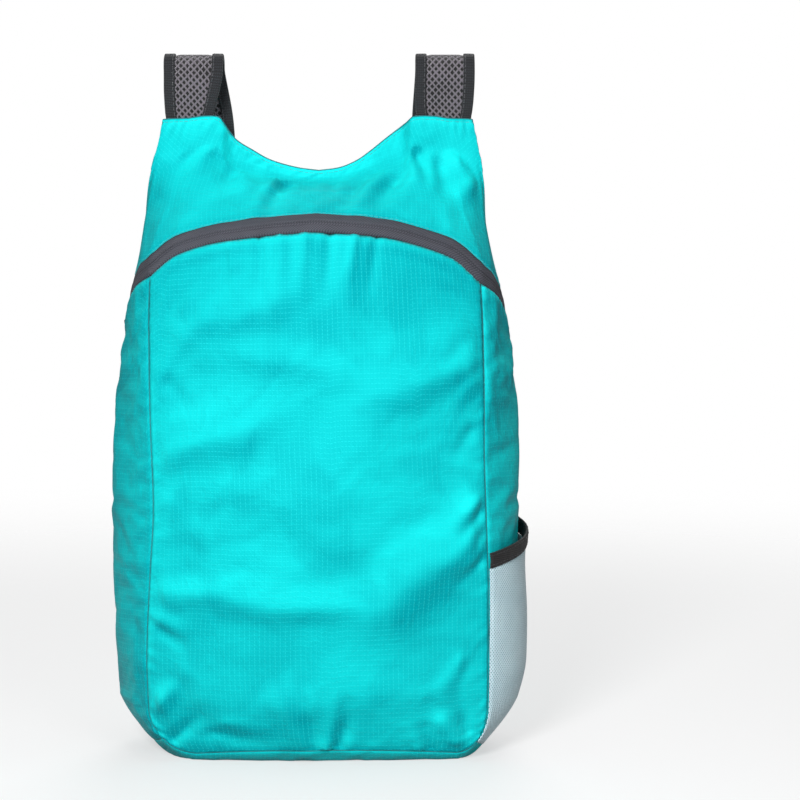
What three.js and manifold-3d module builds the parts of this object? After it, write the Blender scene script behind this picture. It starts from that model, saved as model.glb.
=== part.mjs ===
import * as THREE from 'three'
import Module from 'manifold-3d'
import { mergeVertices } from 'three/addons/utils/BufferGeometryUtils.js'

// A packable daypack of thin ripstop cloth, stuffed and standing on its base.
// Millimetres, +Z up. The front faces -Y, and +X is at the viewer's right.
// The origin lies on the floor, under the middle of the bag.

// Driving dimensions: the body
const bodyWidth = 288
const bodyDepth = 126 // front's fattest point to the back seams
const backShare = 0.39 // share of bodyDepth that lies behind the origin
const hornHeight = 441 // floor to the shoulder tips
const neckHeight = 405 // floor to the lowest point of the neckline
const zipHeight = 371 // floor to the top of the zip's arch
const cloth = 1.2
const seamGap = 0.36
const backPuff = 9 // how far the back panel swells past its side seams
const seamHeight = 6 // floor to the front panel's lower seam, at its ends
const seamRise = 4 // how much higher that seam is at its middle
const cornerLeft = 34 // radius of the front panel's lower corners
const cornerRight = 22
const cornerRise = 32 // height of the lower corners, front and back
const cornerBack = 46 // how far the back panel's lower corners are cut in
const cornerTuck = 0.45 // how much flatter the gussets are where they turn under
const baseDrop = 24 // how far the bottom panel would sag if the floor let it
const lapSlope = 9 // width over which the yoke moves out round the strap's end
const lapMargin = 7 // from there to the strap's end

// Driving dimensions: the zip
const tapeWidth = 5.3 // height of each tape, from the coil to the cloth
const coilWidth = 2.2
const coilProud = 0.9
const sliderPlace = 1.76 // across the body: 1 is the front seam, 2 the back seam
const sliderRound = 2.5
const sliderLength = 10
const sliderWidth = 7.5
const sliderPlate = 1.4
const bridgeWidth = 2
const bridgeHeight = 3
const bridgeWall = 1
const bridgeReach = 3.5 // half of the bridge's length
const pullLength = 17
const pullWidth = 5
const pullThickness = 1
const pullPin = 1.1
const pullRound = 1.65
const pullEye = 2.5 // length of the hole at the pull's free end

// Driving dimensions: the shoulder straps
const strapWidth = 42
const tongueWidth = 30 // the end that is sewn into the horn
const tongueDepth = 8
const strapCore = 3.4
const bindingWidth = 8
const bindingWall = 0.7
const strapRise = 46.5 // horn's tip to the top of the fold
const foldRadius = 11
const strapBow = 30 // how far the slack strap stands off the back panel
const strapEndHeight = 168
const strapEndWidth = 27
const strapEndLean = 0.4 // share of the way out from the horn's place to the webbing's end
const endBow = 22.5 // how far the strap's lower end stands off
const loopLap = 22.5 // straight length of strap between the loop's legs
const foldStep = 1 // how far the strap leans forward below its fold
const clearance = 0.3

// Driving dimensions: the lower webbing and its fittings
const webbingWidth = 20
const webbing = 1.2
const webbingEndHeight = 42
const tailLength = 62
const lockWidth = 28
const lockThickness = 3
const lockBar = 3.4
const lockSlot = 5
const lockTopSlot = 8.5
const loopLeg = 15
const tabLength = 30
const tabNarrow = 21
const tabWide = 26
const tabDrop = 5 // how far the tab lies below the webbing's end

// Driving dimensions: the side pocket
const pocketHeight = 134.5 // to the net's top edge, at the front seam
const pocketSlant = 18 // how much higher that edge is at the back seam
const pocketPuff = 8.6
const pocketMouth = 6.6 // clear gap between the gusset and the elastic
const net = 1
const elasticHeight = 10.5
const elastic = 1.6
const netCorner = THREE.MathUtils.degToRad(28) // how far the net turns under the corner
const pocketRound = 0.8 // power of the swell's outline: lower is fuller at the sides

// Grid steps
const frontSteps = 22
const strapSteps = 33
const sideSteps = 6
const wallSteps = 12
const cornerSteps = 3
const yokeSteps = 7
const turnSteps = 8
const tabSteps = 4
const pocketRows = 10
const netTurns = 2
const elasticRows = 2

// Plan of the body at each height. Heights are shares of hornHeight, and the
// widths are shares of half of bodyWidth. left and right are the widest points,
// seamLeft and seamRight the front seams, and tuck is how far the back seam lies
// inside the widest point.
const plan = [
  { height: 0.00, left: 0.955, right: 0.930, seamLeft: 0.806, seamRight: 0.819, tuck: 0.090 },
  { height: 0.08, left: 0.968, right: 0.945, seamLeft: 0.808, seamRight: 0.821, tuck: 0.092 },
  { height: 0.17, left: 0.988, right: 0.956, seamLeft: 0.813, seamRight: 0.823, tuck: 0.097 },
  { height: 0.30, left: 0.999, right: 0.958, seamLeft: 0.792, seamRight: 0.823, tuck: 0.097 },
  { height: 0.39, left: 1.009, right: 0.977, seamLeft: 0.775, seamRight: 0.813, tuck: 0.100 },
  { height: 0.49, left: 0.998, right: 0.971, seamLeft: 0.782, seamRight: 0.802, tuck: 0.100 },
  { height: 0.62, left: 0.965, right: 0.953, seamLeft: 0.799, seamRight: 0.806, tuck: 0.095 },
  { height: 0.71, left: 0.928, right: 0.910, seamLeft: 0.819, seamRight: 0.813, tuck: 0.085 },
  { height: 0.78, left: 0.882, right: 0.858, seamLeft: 0.825, seamRight: 0.810, tuck: 0.055 },
  { height: 0.84, left: 0.866, right: 0.832, seamLeft: 0.800, seamRight: 0.770, tuck: 0.035 },
  { height: 0.90, left: 0.843, right: 0.818, seamLeft: 0.760, seamRight: 0.740, tuck: 0.020 },
  { height: 0.97, left: 0.782, right: 0.775, seamLeft: 0.710, seamRight: 0.700, tuck: 0.006 },
  { height: 1.02, left: 0.750, right: 0.742, seamLeft: 0.675, seamRight: 0.665, tuck: 0.002 },
]

// Depth of the front cloth. Level 0 is the floor, 1 the zip and 2 the top edge.
// centre and seam are shares of bodyDepth in front of the back seams' plane.
const profile = [
  { level: 0.00, centre: 0.855, seam: 0.750 },
  { level: 0.05, centre: 0.905, seam: 0.770 },
  { level: 0.15, centre: 0.960, seam: 0.795 },
  { level: 0.35, centre: 1.000, seam: 0.812 },
  { level: 0.58, centre: 0.980, seam: 0.788 },
  { level: 0.75, centre: 0.915, seam: 0.735 },
  { level: 0.88, centre: 0.840, seam: 0.665 },
  { level: 0.97, centre: 0.760, seam: 0.595 },
  { level: 1.00, centre: 0.715, seam: 0.560 },
  { level: 1.12, centre: 0.610, seam: 0.470 },
  { level: 1.50, centre: 0.330, seam: 0.280 },
  { level: 1.80, centre: 0.150, seam: 0.185 },
  { level: 2.00, centre: 0.080, seam: 0.165 },
]

// The back panel: how far it leans forward and how much of backPuff it shows
const spine = [
  { height: 0.00, lean: 0.055, puff: 0.35 },
  { height: 0.12, lean: 0.015, puff: 0.75 },
  { height: 0.35, lean: 0.000, puff: 1.00 },
  { height: 0.62, lean: 0.005, puff: 0.90 },
  { height: 0.80, lean: 0.035, puff: 0.45 },
  { height: 0.92, lean: 0.065, puff: 0.10 },
  { height: 1.02, lean: 0.085, puff: 0.00 },
]

// The zip's arch: how far it lies below its top, as shares of zipHeight.
// across is 0 at the middle, 1 at the front seam and 2 at the back seam.
const arch = [
  { across: 0.00, left: 0.000, right: 0.000 },
  { across: 0.25, left: 0.006, right: 0.005 },
  { across: 0.45, left: 0.014, right: 0.012 },
  { across: 0.62, left: 0.023, right: 0.026 },
  { across: 0.80, left: 0.041, right: 0.047 },
  { across: 0.90, left: 0.056, right: 0.067 },
  { across: 1.00, left: 0.084, right: 0.098 },
  { across: 1.30, left: 0.106, right: 0.122 },
  { across: 1.55, left: 0.140, right: 0.155 },
  { across: 1.78, left: 0.205, right: 0.215 },
  { across: 2.00, left: 0.290, right: 0.298 },
]

// The neckline. rise is a share of the way from the neckline's lowest point to the
// horns' tips, and left and right are shares of half of bodyWidth.
const neckline = [
  { rise: 0.000, left: 0.000, right: 0.000 },
  { rise: 0.060, left: 0.110, right: 0.105 },
  { rise: 0.210, left: 0.240, right: 0.192 },
  { rise: 0.400, left: 0.326, right: 0.258 },
  { rise: 0.600, left: 0.405, right: 0.320 },
  { rise: 0.800, left: 0.445, right: 0.385 },
  { rise: 0.970, left: 0.480, right: 0.440 },
  { rise: 1.050, left: 0.510, right: 0.475 },
  { rise: 1.060, left: 0.600, right: 0.600 },
  { rise: 1.020, left: 0.700, right: 0.690 },
]

// Long folds in the front and the yoke. Each runs between two points given by
// across (shares of half of bodyWidth) and height (shares of hornHeight); spread is
// its half width and raise its height, as shares of bodyDepth.
const folds = [
  { across: -0.62, height: 0.12, toAcross: -0.20, toHeight: 0.30, spread: 0.16, raise: 0.020 },
  { across: 0.70, height: 0.66, toAcross: 0.05, toHeight: 0.42, spread: 0.15, raise: 0.024 },
  { across: -0.55, height: 0.60, toAcross: -0.05, toHeight: 0.52, spread: 0.17, raise: -0.022 },
  { across: 0.30, height: 0.30, toAcross: 0.62, toHeight: 0.16, spread: 0.14, raise: -0.020 },
  { across: 0.20, height: 0.72, toAcross: 0.10, toHeight: 0.60, spread: 0.10, raise: 0.015 },
  { across: -0.15, height: 0.10, toAcross: -0.05, toHeight: 0.03, spread: 0.09, raise: 0.018 },
  { across: 0.45, height: 0.95, toAcross: 0.62, toHeight: 0.86, spread: 0.09, raise: 0.030 },
  { across: 0.62, height: 0.97, toAcross: 0.74, toHeight: 0.84, spread: 0.08, raise: -0.030 },
  { across: -0.55, height: 0.95, toAcross: -0.66, toHeight: 0.84, spread: 0.10, raise: 0.028 },
  { across: -0.40, height: 0.90, toAcross: -0.20, toHeight: 0.865, spread: 0.08, raise: -0.020 },
]

// The strap's route behind the back panel, from the fold down. fall is a share of the
// way from the fold to the strap's end and bow a share of strapBow. left and right are
// how far each strap has moved out from its place at the horn, as shares of halfWidth.
const strapRoute = [
  { fall: 0.00, bow: 0.00, left: -0.020, right: 0.005 },
  { fall: 0.12, bow: 0.12, left: -0.058, right: -0.010 },
  { fall: 0.32, bow: 0.55, left: -0.060, right: -0.020 },
  { fall: 0.54, bow: 0.92, left: -0.040, right: -0.010 },
  { fall: 0.76, bow: 1.00, left: 0.000, right: 0.020 },
]

// The webbing's loose tail below the lock: along is a share of tailLength, and off is how
// far it hangs away from the bag, as a share of webbingWidth
const tailRoute = [
  { along: 0.40, off: 0.10 },
  { along: 0.75, off: 0.15 },
  { along: 1.00, off: 0.10 },
]

// Where the yoke's shape changes on its way up: v is 0 at the zip and 1 at the top edge.
// soften rounds off the front seams, and lip lets the cloth close onto the back panel.
const yokeShape = {
  soften: { from: 0, to: 0.5, low: 0.04, high: 0.4 },
  lip: { from: 0.45, to: 0.85 },
  close: { from: 1.83, to: 2 },
}

// Where the net swells: v is 0 at its lower edge and 1 at its upper one
const netShape = {
  rise: { from: 0, to: 0.4 },
  narrow: { from: 0.6, to: 1 },
}

// Width of the strap along its length: 0 is its narrow end and 1 is strapWidth
const strapTaper = [
  { along: 0.000, width: 0 },
  { along: 0.022, width: 0 },
  { along: 0.045, width: 0.6 },
  { along: 0.100, width: 0.9 },
  { along: 0.150, width: 1 },
  { along: 0.860, width: 1 },
  { along: 1.000, width: 0 },
]

// Colours
const turquoise = 0x10c8cc
const tapeGrey = 0x565462
const metalGrey = 0x6a6c70
const bindingGrey = 0x3e4045
const meshGrey = 0x6f6874
const webbingBlack = 0x17171a
const plasticBlack = 0x121214
const netBlue = 0xb4c6d0

const halfWidth = bodyWidth / 2
const backPlane = backShare * bodyDepth
const frontRun = 0.8 // mean place of the front seams, as a share of halfWidth
const sideRun = 0.65 // mean depth of the gussets, as a share of bodyDepth
const right = 1
const left = -1

// Smooth value of one column of a table at a place between its rows
function tableValue(table, key, place, column) {
  const last = table.length - 1
  const at = (i) => table[Math.min(Math.max(i, 0), last)]
  let i = 0
  while (i < last - 1 && place > table[i + 1][key]) i++
  const span = at(i + 1)[key] - at(i)[key]
  const share = Math.min(Math.max((place - at(i)[key]) / span, 0), 1)
  const slope = (k) => {
    const width = at(k + 1)[key] - at(k - 1)[key]
    return (at(k + 1)[column] - at(k - 1)[column]) / width * span
  }
  const a = at(i)[column]
  const b = at(i + 1)[column]
  const s2 = share * share
  const s3 = s2 * share
  return a * (2 * s3 - 3 * s2 + 1) + slope(i) * (s3 - 2 * s2 + share)
    + b * (3 * s2 - 2 * s3) + slope(i + 1) * (s3 - s2)
}

const ramp = THREE.MathUtils.smoothstep
const rampOver = (value, { from, to }) => ramp(value, from, to)

const lerp = THREE.MathUtils.lerp
const sideOf = (across) => (across < 0 ? 'left' : 'right')
const seamOf = (across) => (across < 0 ? 'seamLeft' : 'seamRight')

function planValue(z, column) {
  return halfWidth * tableValue(plan, 'height', z / hornHeight, column)
}

function backSeamX(side, z) {
  return planValue(z, sideOf(side)) - planValue(z, 'tuck')
}

function backSeamY(z) {
  return backPlane - bodyDepth * tableValue(spine, 'height', z / hornHeight, 'lean')
}

// The back panel's outer face
function backY(x, z) {
  const share = x / backSeamX(x, z)
  const puff = backPuff * tableValue(spine, 'height', z / hornHeight, 'puff')
  return backSeamY(z) + puff * (1 - share * share)
}

// Height of the zip's middle line, and of a line beside it by some width of tape
function zipZ(across) {
  const drop = tableValue(arch, 'across', Math.abs(across), sideOf(across))
  return zipHeight * (1 - drop)
}

function besideZip(across, offset) {
  const step = 0.02
  const a = Math.min(across + step, 2)
  const b = Math.max(across - step, -2)
  const width = Math.abs(across) < 1 ? halfWidth * frontRun : bodyDepth * sideRun
  const slope = (zipZ(a) - zipZ(b)) / ((a - b) * width)
  return zipZ(across) + offset * Math.hypot(1, slope)
}

// The neckline's heights, listed by place across the yoke
const topEdge = (side) => neckline.map((row) => {
  const z = neckHeight + row.rise * (hornHeight - neckHeight)
  const across = halfWidth * row[sideOf(side)] / planValue(z, seamOf(side))
  return { across, z }
})
const topEdges = { left: topEdge(left), right: topEdge(right) }
const hornTop = hornHeight - seamGap

function topZ(across) {
  const edge = topEdges[sideOf(across)]
  const tip = edge[edge.length - 1]
  if (Math.abs(across) < tip.across) return tableValue(edge, 'across', Math.abs(across), 'z')
  return lerp(tip.z, hornTop, (Math.abs(across) - tip.across) / (2 - tip.across))
}

function levelOf(across, z) {
  const zip = zipZ(across)
  return z < zip ? z / zip : 1 + (z - zip) / (topZ(across) - zip)
}

function foldRaise(x, z) {
  let raise = 0
  for (const fold of folds) {
    const start = new THREE.Vector2(fold.across * halfWidth, fold.height * hornHeight)
    const way = new THREE.Vector2(fold.toAcross * halfWidth, fold.toHeight * hornHeight).sub(start)
    const from = new THREE.Vector2(x, z).sub(start)
    const along = THREE.MathUtils.clamp(from.dot(way) / way.lengthSq(), 0, 1)
    const distance = from.addScaledVector(way, -along).length() / (fold.spread * bodyDepth)
    raise += fold.raise * bodyDepth * Math.exp(-distance * distance)
  }
  return raise
}

// The front cloth's outer face, between the two front seams
function frontY(x, z) {
  const share = x / planValue(z, seamOf(x))
  const level = levelOf(share, z)
  const centre = tableValue(profile, 'level', level, 'centre')
  const seam = tableValue(profile, 'level', level, 'seam')
  const depth = bodyDepth * lerp(centre, seam, share * share)
  return backPlane - depth - foldRaise(x, z) * (1 - share ** 4)
}

function sideBulge(side, z) {
  const front = planValue(z, seamOf(side))
  const back = backSeamX(side, z)
  const reach = planValue(z, sideOf(side)) - (front + back) / 2
  const lean = (back - front) / 2
  return (reach + Math.sqrt(Math.max(reach * reach - lean * lean, 0))) / 2
}

// A point of the body's outer face: across runs from -2 (left back seam) through
// the front seams at -1 and 1 to 2 (right back seam)
function bodyPoint(across, z) {
  const side = across < 0 ? left : right
  const share = Math.abs(across)
  const seamX = planValue(z, seamOf(side))
  if (share <= 1) return new THREE.Vector3(seamX * across, frontY(seamX * across, z), z)
  const w = share - 1
  const seamDepth = bodyDepth * tableValue(profile, 'level', levelOf(across, z), 'seam')
  const x = lerp(seamX, backSeamX(side, z), w) + sideBulge(side, z) * 4 * w * (1 - w)
  return new THREE.Vector3(side * x, lerp(backPlane - seamDepth, backSeamY(z), w), z)
}

// The same point with the front seam's edge rounded off over a share of the way
function softPoint(across, z, soften) {
  const reach = Math.min(soften, 2 - Math.abs(across))
  const point = bodyPoint(across, z).multiplyScalar(2)
  point.add(bodyPoint(across - reach, z)).add(bodyPoint(across + reach, z))
  return point.divideScalar(4).setZ(z)
}

// Places along the zip band, from the lower cloth edge to the upper one
const lowEdge = -(tapeWidth + coilWidth / 2)
const coilLow = -coilWidth / 2
const coilHigh = coilWidth / 2
const highEdge = tapeWidth + coilWidth / 2

// The gap between the yoke's and the back panel's outer faces along the top edge:
// both cloths at the neck, and the strap's end between them at the horns
const strapThickness = strapCore + 2 * (bindingWall + clearance)
const neckLap = 2 * cloth + clearance
const hornLap = 2 * cloth + 5 * clearance + strapThickness // clear of the strap's tilted end

// The strap's tongue lies between the horn's inner corner and its side seam
function hornX(side) {
  const inner = halfWidth * neckline[neckline.length - 3][sideOf(side)]
  return side * (inner + backSeamX(side, hornHeight)) / 2
}

function lapAt(x, across) {
  const side = across < 0 ? left : right
  const inner = Math.abs(hornX(side)) - tongueWidth / 2
  const start = inner - lapMargin - lapSlope
  const lap = lerp(neckLap, hornLap, ramp(Math.abs(x), start, start + lapSlope))
  return lap * (1 - rampOver(Math.abs(across), yokeShape.close))
}

function yokePoint(across, v) {
  const z = lerp(besideZip(across, highEdge), topZ(across), v)
  const { soften, lip } = yokeShape
  const point = softPoint(across, z, lerp(soften.low, soften.high, rampOver(v, soften)))
  point.y = lerp(point.y, backY(point.x, z) - lapAt(point.x, across), rampOver(v, lip))
  return point
}

// Lower corners. angle is 0 where the straight side ends and 90 degrees where the
// lower seam starts.
const cornerRadius = (side) => (side === left ? cornerLeft : cornerRight)
const cornerZ = seamHeight + cornerRise

function frontRim(side, angle) {
  const inset = cornerRadius(side) * (1 - Math.cos(angle))
  const x = side * (planValue(cornerZ, seamOf(side)) - inset)
  return [x, cornerZ - cornerRise * Math.sin(angle)]
}

function backRim(side, angle) {
  const x = side * (backSeamX(side, cornerZ) - cornerBack * (1 - Math.cos(angle)))
  return [x, cornerZ - cornerRise * Math.sin(angle)]
}

function wrapPoint([frontX, frontZ], [backX, backZ], outward, bulge, w) {
  const front = new THREE.Vector3(frontX, frontY(frontX, frontZ), frontZ)
  const back = new THREE.Vector3(backX, backY(backX, backZ), backZ)
  const point = front.lerp(back, w).addScaledVector(outward, bulge * 4 * w * (1 - w))
  point.z = Math.max(point.z, 0)
  return point
}

function cornerPoint(side, angle, w) {
  const outward = new THREE.Vector3(side * Math.cos(angle), 0, -Math.sin(angle))
  const tuck = 1 - cornerTuck * Math.sin(2 * angle)
  const bulge = lerp(sideBulge(side, cornerZ), baseDrop, ramp(angle, 0, Math.PI / 2)) * tuck
  return wrapPoint(frontRim(side, angle), backRim(side, angle), outward, bulge, w)
}

function gussetPoint(side, row, w) {
  const eighth = Math.PI / 4
  if (row < cornerSteps) return cornerPoint(side, eighth * (1 - row / cornerSteps), w)
  const across = side * (1 + w)
  const share = (row - cornerSteps) / wallSteps
  return bodyPoint(across, lerp(cornerZ, besideZip(across, lowEdge), share))
}

// The bottom panel runs from the middle of one lower corner to the other's
function basePoint(column, w) {
  const eighth = Math.PI / 4
  if (column <= cornerSteps) {
    return cornerPoint(left, eighth * (1 + column / cornerSteps), w)
  }
  const fromRight = frontSteps - column
  if (fromRight <= cornerSteps) {
    return cornerPoint(right, eighth * (1 + fromRight / cornerSteps), w)
  }
  const share = (column - cornerSteps) / (frontSteps - 2 * cornerSteps)
  const square = Math.PI / 2
  const frontX = lerp(frontRim(left, square)[0], frontRim(right, square)[0], share)
  const backX = lerp(backRim(left, square)[0], backRim(right, square)[0], share)
  const frontZ = seamHeight + seamRise * 4 * share * (1 - share)
  const down = new THREE.Vector3(0, 0, -1)
  return wrapPoint([frontX, frontZ], [backX, seamHeight], down, baseDrop, w)
}

// Grids of outer points. Rows run upwards and columns round the bag, so that a
// face's columns crossed with its rows point out of the bag.
function gridOf(rows, columns, pointAt) {
  return Array.from({ length: rows + 1 }, (_, i) => (
    Array.from({ length: columns + 1 }, (_, j) => pointAt(i, j))
  ))
}

// A patch between four edges, blended in the plane of x and z and then laid on a face
function patch(bottom, top, start, end, faceY) {
  const rows = start.length - 1
  const columns = bottom.length - 1
  const blend = (key, i, j) => {
    const u = j / columns
    const v = i / rows
    const corners = (1 - v) * lerp(bottom[0][key], bottom[columns][key], u)
      + v * lerp(top[0][key], top[columns][key], u)
    return lerp(bottom[j][key], top[j][key], v) + lerp(start[i][key], end[i][key], u) - corners
  }
  return gridOf(rows, columns, (i, j) => {
    if (i === 0) return bottom[j].clone()
    if (i === rows) return top[j].clone()
    if (j === 0) return start[i].clone()
    if (j === columns) return end[i].clone()
    const x = blend('x', i, j)
    const z = blend('z', i, j)
    return new THREE.Vector3(x, faceY(x, z), z)
  })
}

const gussetRows = cornerSteps + wallSteps
const wrapSteps = frontSteps + 2 * sideSteps
const frontAcross = (j) => -1 + 2 * j / frontSteps
function wrapAcross(j) {
  if (j < sideSteps) return -2 + j / sideSteps
  if (j > sideSteps + frontSteps) return 1 + (j - sideSteps - frontSteps) / sideSteps
  return frontAcross(j - sideSteps)
}

const zipLine = (across, offset) => bodyPoint(across, besideZip(across, offset))

// Frame on the coil's flat between two grid columns: x runs along the zip towards the
// bag's left end and z out of the cloth
function sliderFrame() {
  const column = Math.floor(sliderPlace * sideSteps)
  const ends = [column + 1, column].map((place) => zipLine(-place / sideSteps, 0))
  const along = ends[1].clone().sub(ends[0]).normalize()
  const up = zipLine(-sliderPlace, 1).sub(zipLine(-sliderPlace, -1))
  const out = new THREE.Vector3().crossVectors(along, up).normalize()
  const crossing = new THREE.Vector3().crossVectors(out, along)
  const place = ends[0].lerp(ends[1], column + 1 - sliderPlace * sideSteps)
  return new THREE.Matrix4().makeBasis(along, crossing, out).setPosition(place)
}

const rowList = (count, pointAt) => Array.from({ length: count + 1 }, (_, i) => pointAt(i))

// Place across the top edge for a given x, found by closing in on it
function topPoint(x) {
  const side = x < 0 ? left : right
  let z = neckHeight
  for (let turn = 0; turn < 12; turn++) {
    const seamX = planValue(z, seamOf(side))
    const over = (Math.abs(x) - seamX) / (backSeamX(side, z) - seamX)
    z = topZ(over < 0 ? x / seamX : side * (1 + over))
  }
  return new THREE.Vector3(x, backY(x, z), z)
}

function backEdge(side) {
  const rows = rowList(gussetRows, (i) => gussetPoint(side, i, 1))
  rows.push(zipLine(2 * side, coilLow), zipLine(2 * side, coilHigh))
  return rows.concat(rowList(yokeSteps, (i) => yokePoint(2 * side, i / yokeSteps)))
}

function backGrid() {
  const rightEdge = backEdge(right)
  const leftEdge = backEdge(left)
  const tipRight = rightEdge[rightEdge.length - 1]
  const tipLeft = leftEdge[leftEdge.length - 1]
  const top = rowList(frontSteps, (j) => topPoint(lerp(tipRight.x, tipLeft.x, j / frontSteps)))
  top[0] = tipRight
  top[frontSteps] = tipLeft
  const bottom = rowList(frontSteps, (j) => basePoint(frontSteps - j, 1))
  return patch(bottom, top, rightEdge, leftEdge, backY)
}

const bodyGrids = {
  front_panel: patch(
    rowList(frontSteps, (j) => basePoint(j, 0)),
    rowList(frontSteps, (j) => zipLine(frontAcross(j), lowEdge)),
    rowList(gussetRows, (i) => gussetPoint(left, i, 0)),
    rowList(gussetRows, (i) => gussetPoint(right, i, 0)),
    frontY,
  ),
  side_gusset_left: gridOf(gussetRows, sideSteps, (i, j) => gussetPoint(left, i, 1 - j / sideSteps)),
  side_gusset_right: gridOf(gussetRows, sideSteps, (i, j) => gussetPoint(right, i, j / sideSteps)),
  bottom_panel: gridOf(sideSteps, frontSteps, (i, j) => basePoint(j, 1 - i / sideSteps)),
  back_panel: backGrid(),
  yoke_panel: gridOf(yokeSteps, wrapSteps, (i, j) => yokePoint(wrapAcross(j), i / yokeSteps)),
  zip_tape_lower: gridOf(1, wrapSteps, (i, j) => zipLine(wrapAcross(j), i ? coilLow : lowEdge)),
  zip_coil: gridOf(1, wrapSteps, (i, j) => zipLine(wrapAcross(j), i ? coilHigh : coilLow)),
  zip_tape_upper: gridOf(1, wrapSteps, (i, j) => (
    i ? yokePoint(wrapAcross(j), 0) : zipLine(wrapAcross(j), coilHigh)
  )),
}

// One normal for each place, shared by the panels that meet there, so that their
// thicknesses meet in a mitre
const placeKey = (point) => point.toArray().map((value) => Math.round(value * 50)).join(' ')

function sharedNormals(grids) {
  const normals = new Map()
  const addFace = (a, b, c) => {
    const normal = new THREE.Vector3().crossVectors(b.clone().sub(a), c.clone().sub(a)).normalize()
    for (const point of [a, b, c]) {
      const key = placeKey(point)
      if (!normals.has(key)) normals.set(key, new THREE.Vector3())
      normals.get(key).add(normal)
    }
  }
  for (const grid of grids) {
    for (let i = 1; i < grid.length; i++) {
      for (let j = 1; j < grid[i].length; j++) {
        addFace(grid[i - 1][j - 1], grid[i - 1][j], grid[i][j])
        addFace(grid[i - 1][j - 1], grid[i][j], grid[i][j - 1])
      }
    }
  }
  return (point) => normals.get(placeKey(point)).clone().normalize()
}

// Moves the outer rows and columns inwards by half a seam's gap, square to the edge
function pulledBack(grid, gap) {
  const rows = grid.length - 1
  const columns = grid[0].length - 1
  const result = grid.map((row) => row.map((point) => point.clone()))
  const move = (i, j, inner, before, after) => {
    const edge = after.clone().sub(before).normalize()
    const inward = inner.clone().sub(grid[i][j])
    result[i][j].add(inward.addScaledVector(edge, -inward.dot(edge)).setLength(gap / 2))
  }
  for (let j = 0; j <= columns; j++) {
    const [before, after] = [Math.max(j - 1, 0), Math.min(j + 1, columns)]
    move(0, j, grid[1][j], grid[0][before], grid[0][after])
    move(rows, j, grid[rows - 1][j], grid[rows][before], grid[rows][after])
  }
  for (let i = 0; i <= rows; i++) {
    const [before, after] = [Math.max(i - 1, 0), Math.min(i + 1, rows)]
    move(i, 0, grid[i][1], grid[before][0], grid[after][0])
    move(i, columns, grid[i][columns - 1], grid[before][columns], grid[after][columns])
  }
  return result
}

// A closed sheet: the grid is its outer face, or lies below it if the sheet is proud,
// and its inner face lies a thickness in
function sheetGeometry(grid, normalAt, thickness, gap, proud = 0) {
  const base = pulledBack(grid, gap)
  const rows = grid.length - 1
  const columns = grid[0].length - 1
  const moved = (distance) => base.map((row, i) => row.map((point, j) => (
    point.clone().addScaledVector(normalAt(grid[i][j]), distance)
  )))
  const outer = moved(proud)
  const inner = moved(-thickness)
  const points = [...outer.flat(), ...inner.flat()]
  const half = (rows + 1) * (columns + 1)
  const at = (i, j) => i * (columns + 1) + j
  const faces = []
  for (let i = 0; i < rows; i++) {
    for (let j = 0; j < columns; j++) {
      const [a, b, c, d] = [at(i, j), at(i, j + 1), at(i + 1, j + 1), at(i + 1, j)]
      const [ia, ib, ic, id] = [a + half, b + half, c + half, d + half]
      if (points[a].distanceTo(points[c]) < points[b].distanceTo(points[d])) {
        faces.push(a, b, c, a, c, d, ia, ic, ib, ia, id, ic)
      } else {
        faces.push(a, b, d, b, c, d, ia, id, ib, ib, id, ic)
      }
    }
  }
  const rim = []
  for (let j = 0; j < columns; j++) rim.push(at(0, j))
  for (let i = 0; i < rows; i++) rim.push(at(i, columns))
  for (let j = columns; j > 0; j--) rim.push(at(rows, j))
  for (let i = rows; i > 0; i--) rim.push(at(i, 0))
  rim.forEach((a, k) => {
    const b = rim[(k + 1) % rim.length]
    faces.push(b, a, a + half, b, a + half, b + half)
  })
  return meshGeometry(points, faces)
}

function meshGeometry(points, faces) {
  const geometry = new THREE.BufferGeometry().setFromPoints(points)
  geometry.setIndex(faces)
  geometry.computeVertexNormals()
  return geometry
}

// A closed band: one closed section of [across, out] places at each frame
function sweepGeometry(frames, sectionAt) {
  const sections = frames.map(({ along }) => sectionAt(along))
  const size = sections[0].length
  const points = frames.flatMap(({ origin, across, out }, i) => sections[i].map(([a, o]) => (
    origin.clone().addScaledVector(across, a).addScaledVector(out, o)
  )))
  const faces = []
  for (let i = 1; i < frames.length; i++) {
    for (let k = 0; k < size; k++) {
      const next = (k + 1) % size
      const [a, b] = [(i - 1) * size + k, (i - 1) * size + next]
      const [c, d] = [i * size + next, i * size + k]
      faces.push(a, b, c, a, c, d)
    }
  }
  const last = (frames.length - 1) * size
  const cap = (section) => THREE.ShapeUtils.triangulateShape(
    section.map(([a, o]) => new THREE.Vector2(a, o)), [])
  for (const [a, b, c] of cap(sections[0])) faces.push(c, b, a)
  for (const [a, b, c] of cap(sections[frames.length - 1])) faces.push(last + a, last + b, last + c)
  return meshGeometry(points, faces)
}

const strip = (width, low, high) => [
  [-width / 2, low], [width / 2, low], [width / 2, high], [-width / 2, high],
]

// Frames along a list of points: across stays as level as the path lets it
function framesAlong(points) {
  const lengths = [0]
  for (let i = 1; i < points.length; i++) {
    lengths.push(lengths[i - 1] + points[i].distanceTo(points[i - 1]))
  }
  return points.map((origin, i) => {
    const before = points[Math.max(i - 1, 0)]
    const after = points[Math.min(i + 1, points.length - 1)]
    const tangent = after.clone().sub(before).normalize()
    const across = new THREE.Vector3(1, 0, 0)
    across.addScaledVector(tangent, -across.dot(tangent)).normalize()
    const out = new THREE.Vector3().crossVectors(tangent, across)
    return { origin, across, out, along: lengths[i] / lengths[points.length - 1] }
  })
}

// Where the strap's pieces lie on one side
const lockLength = 3 * lockBar + lockSlot + lockTopSlot
const lockStart = lockLength + 2 * clearance

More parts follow.
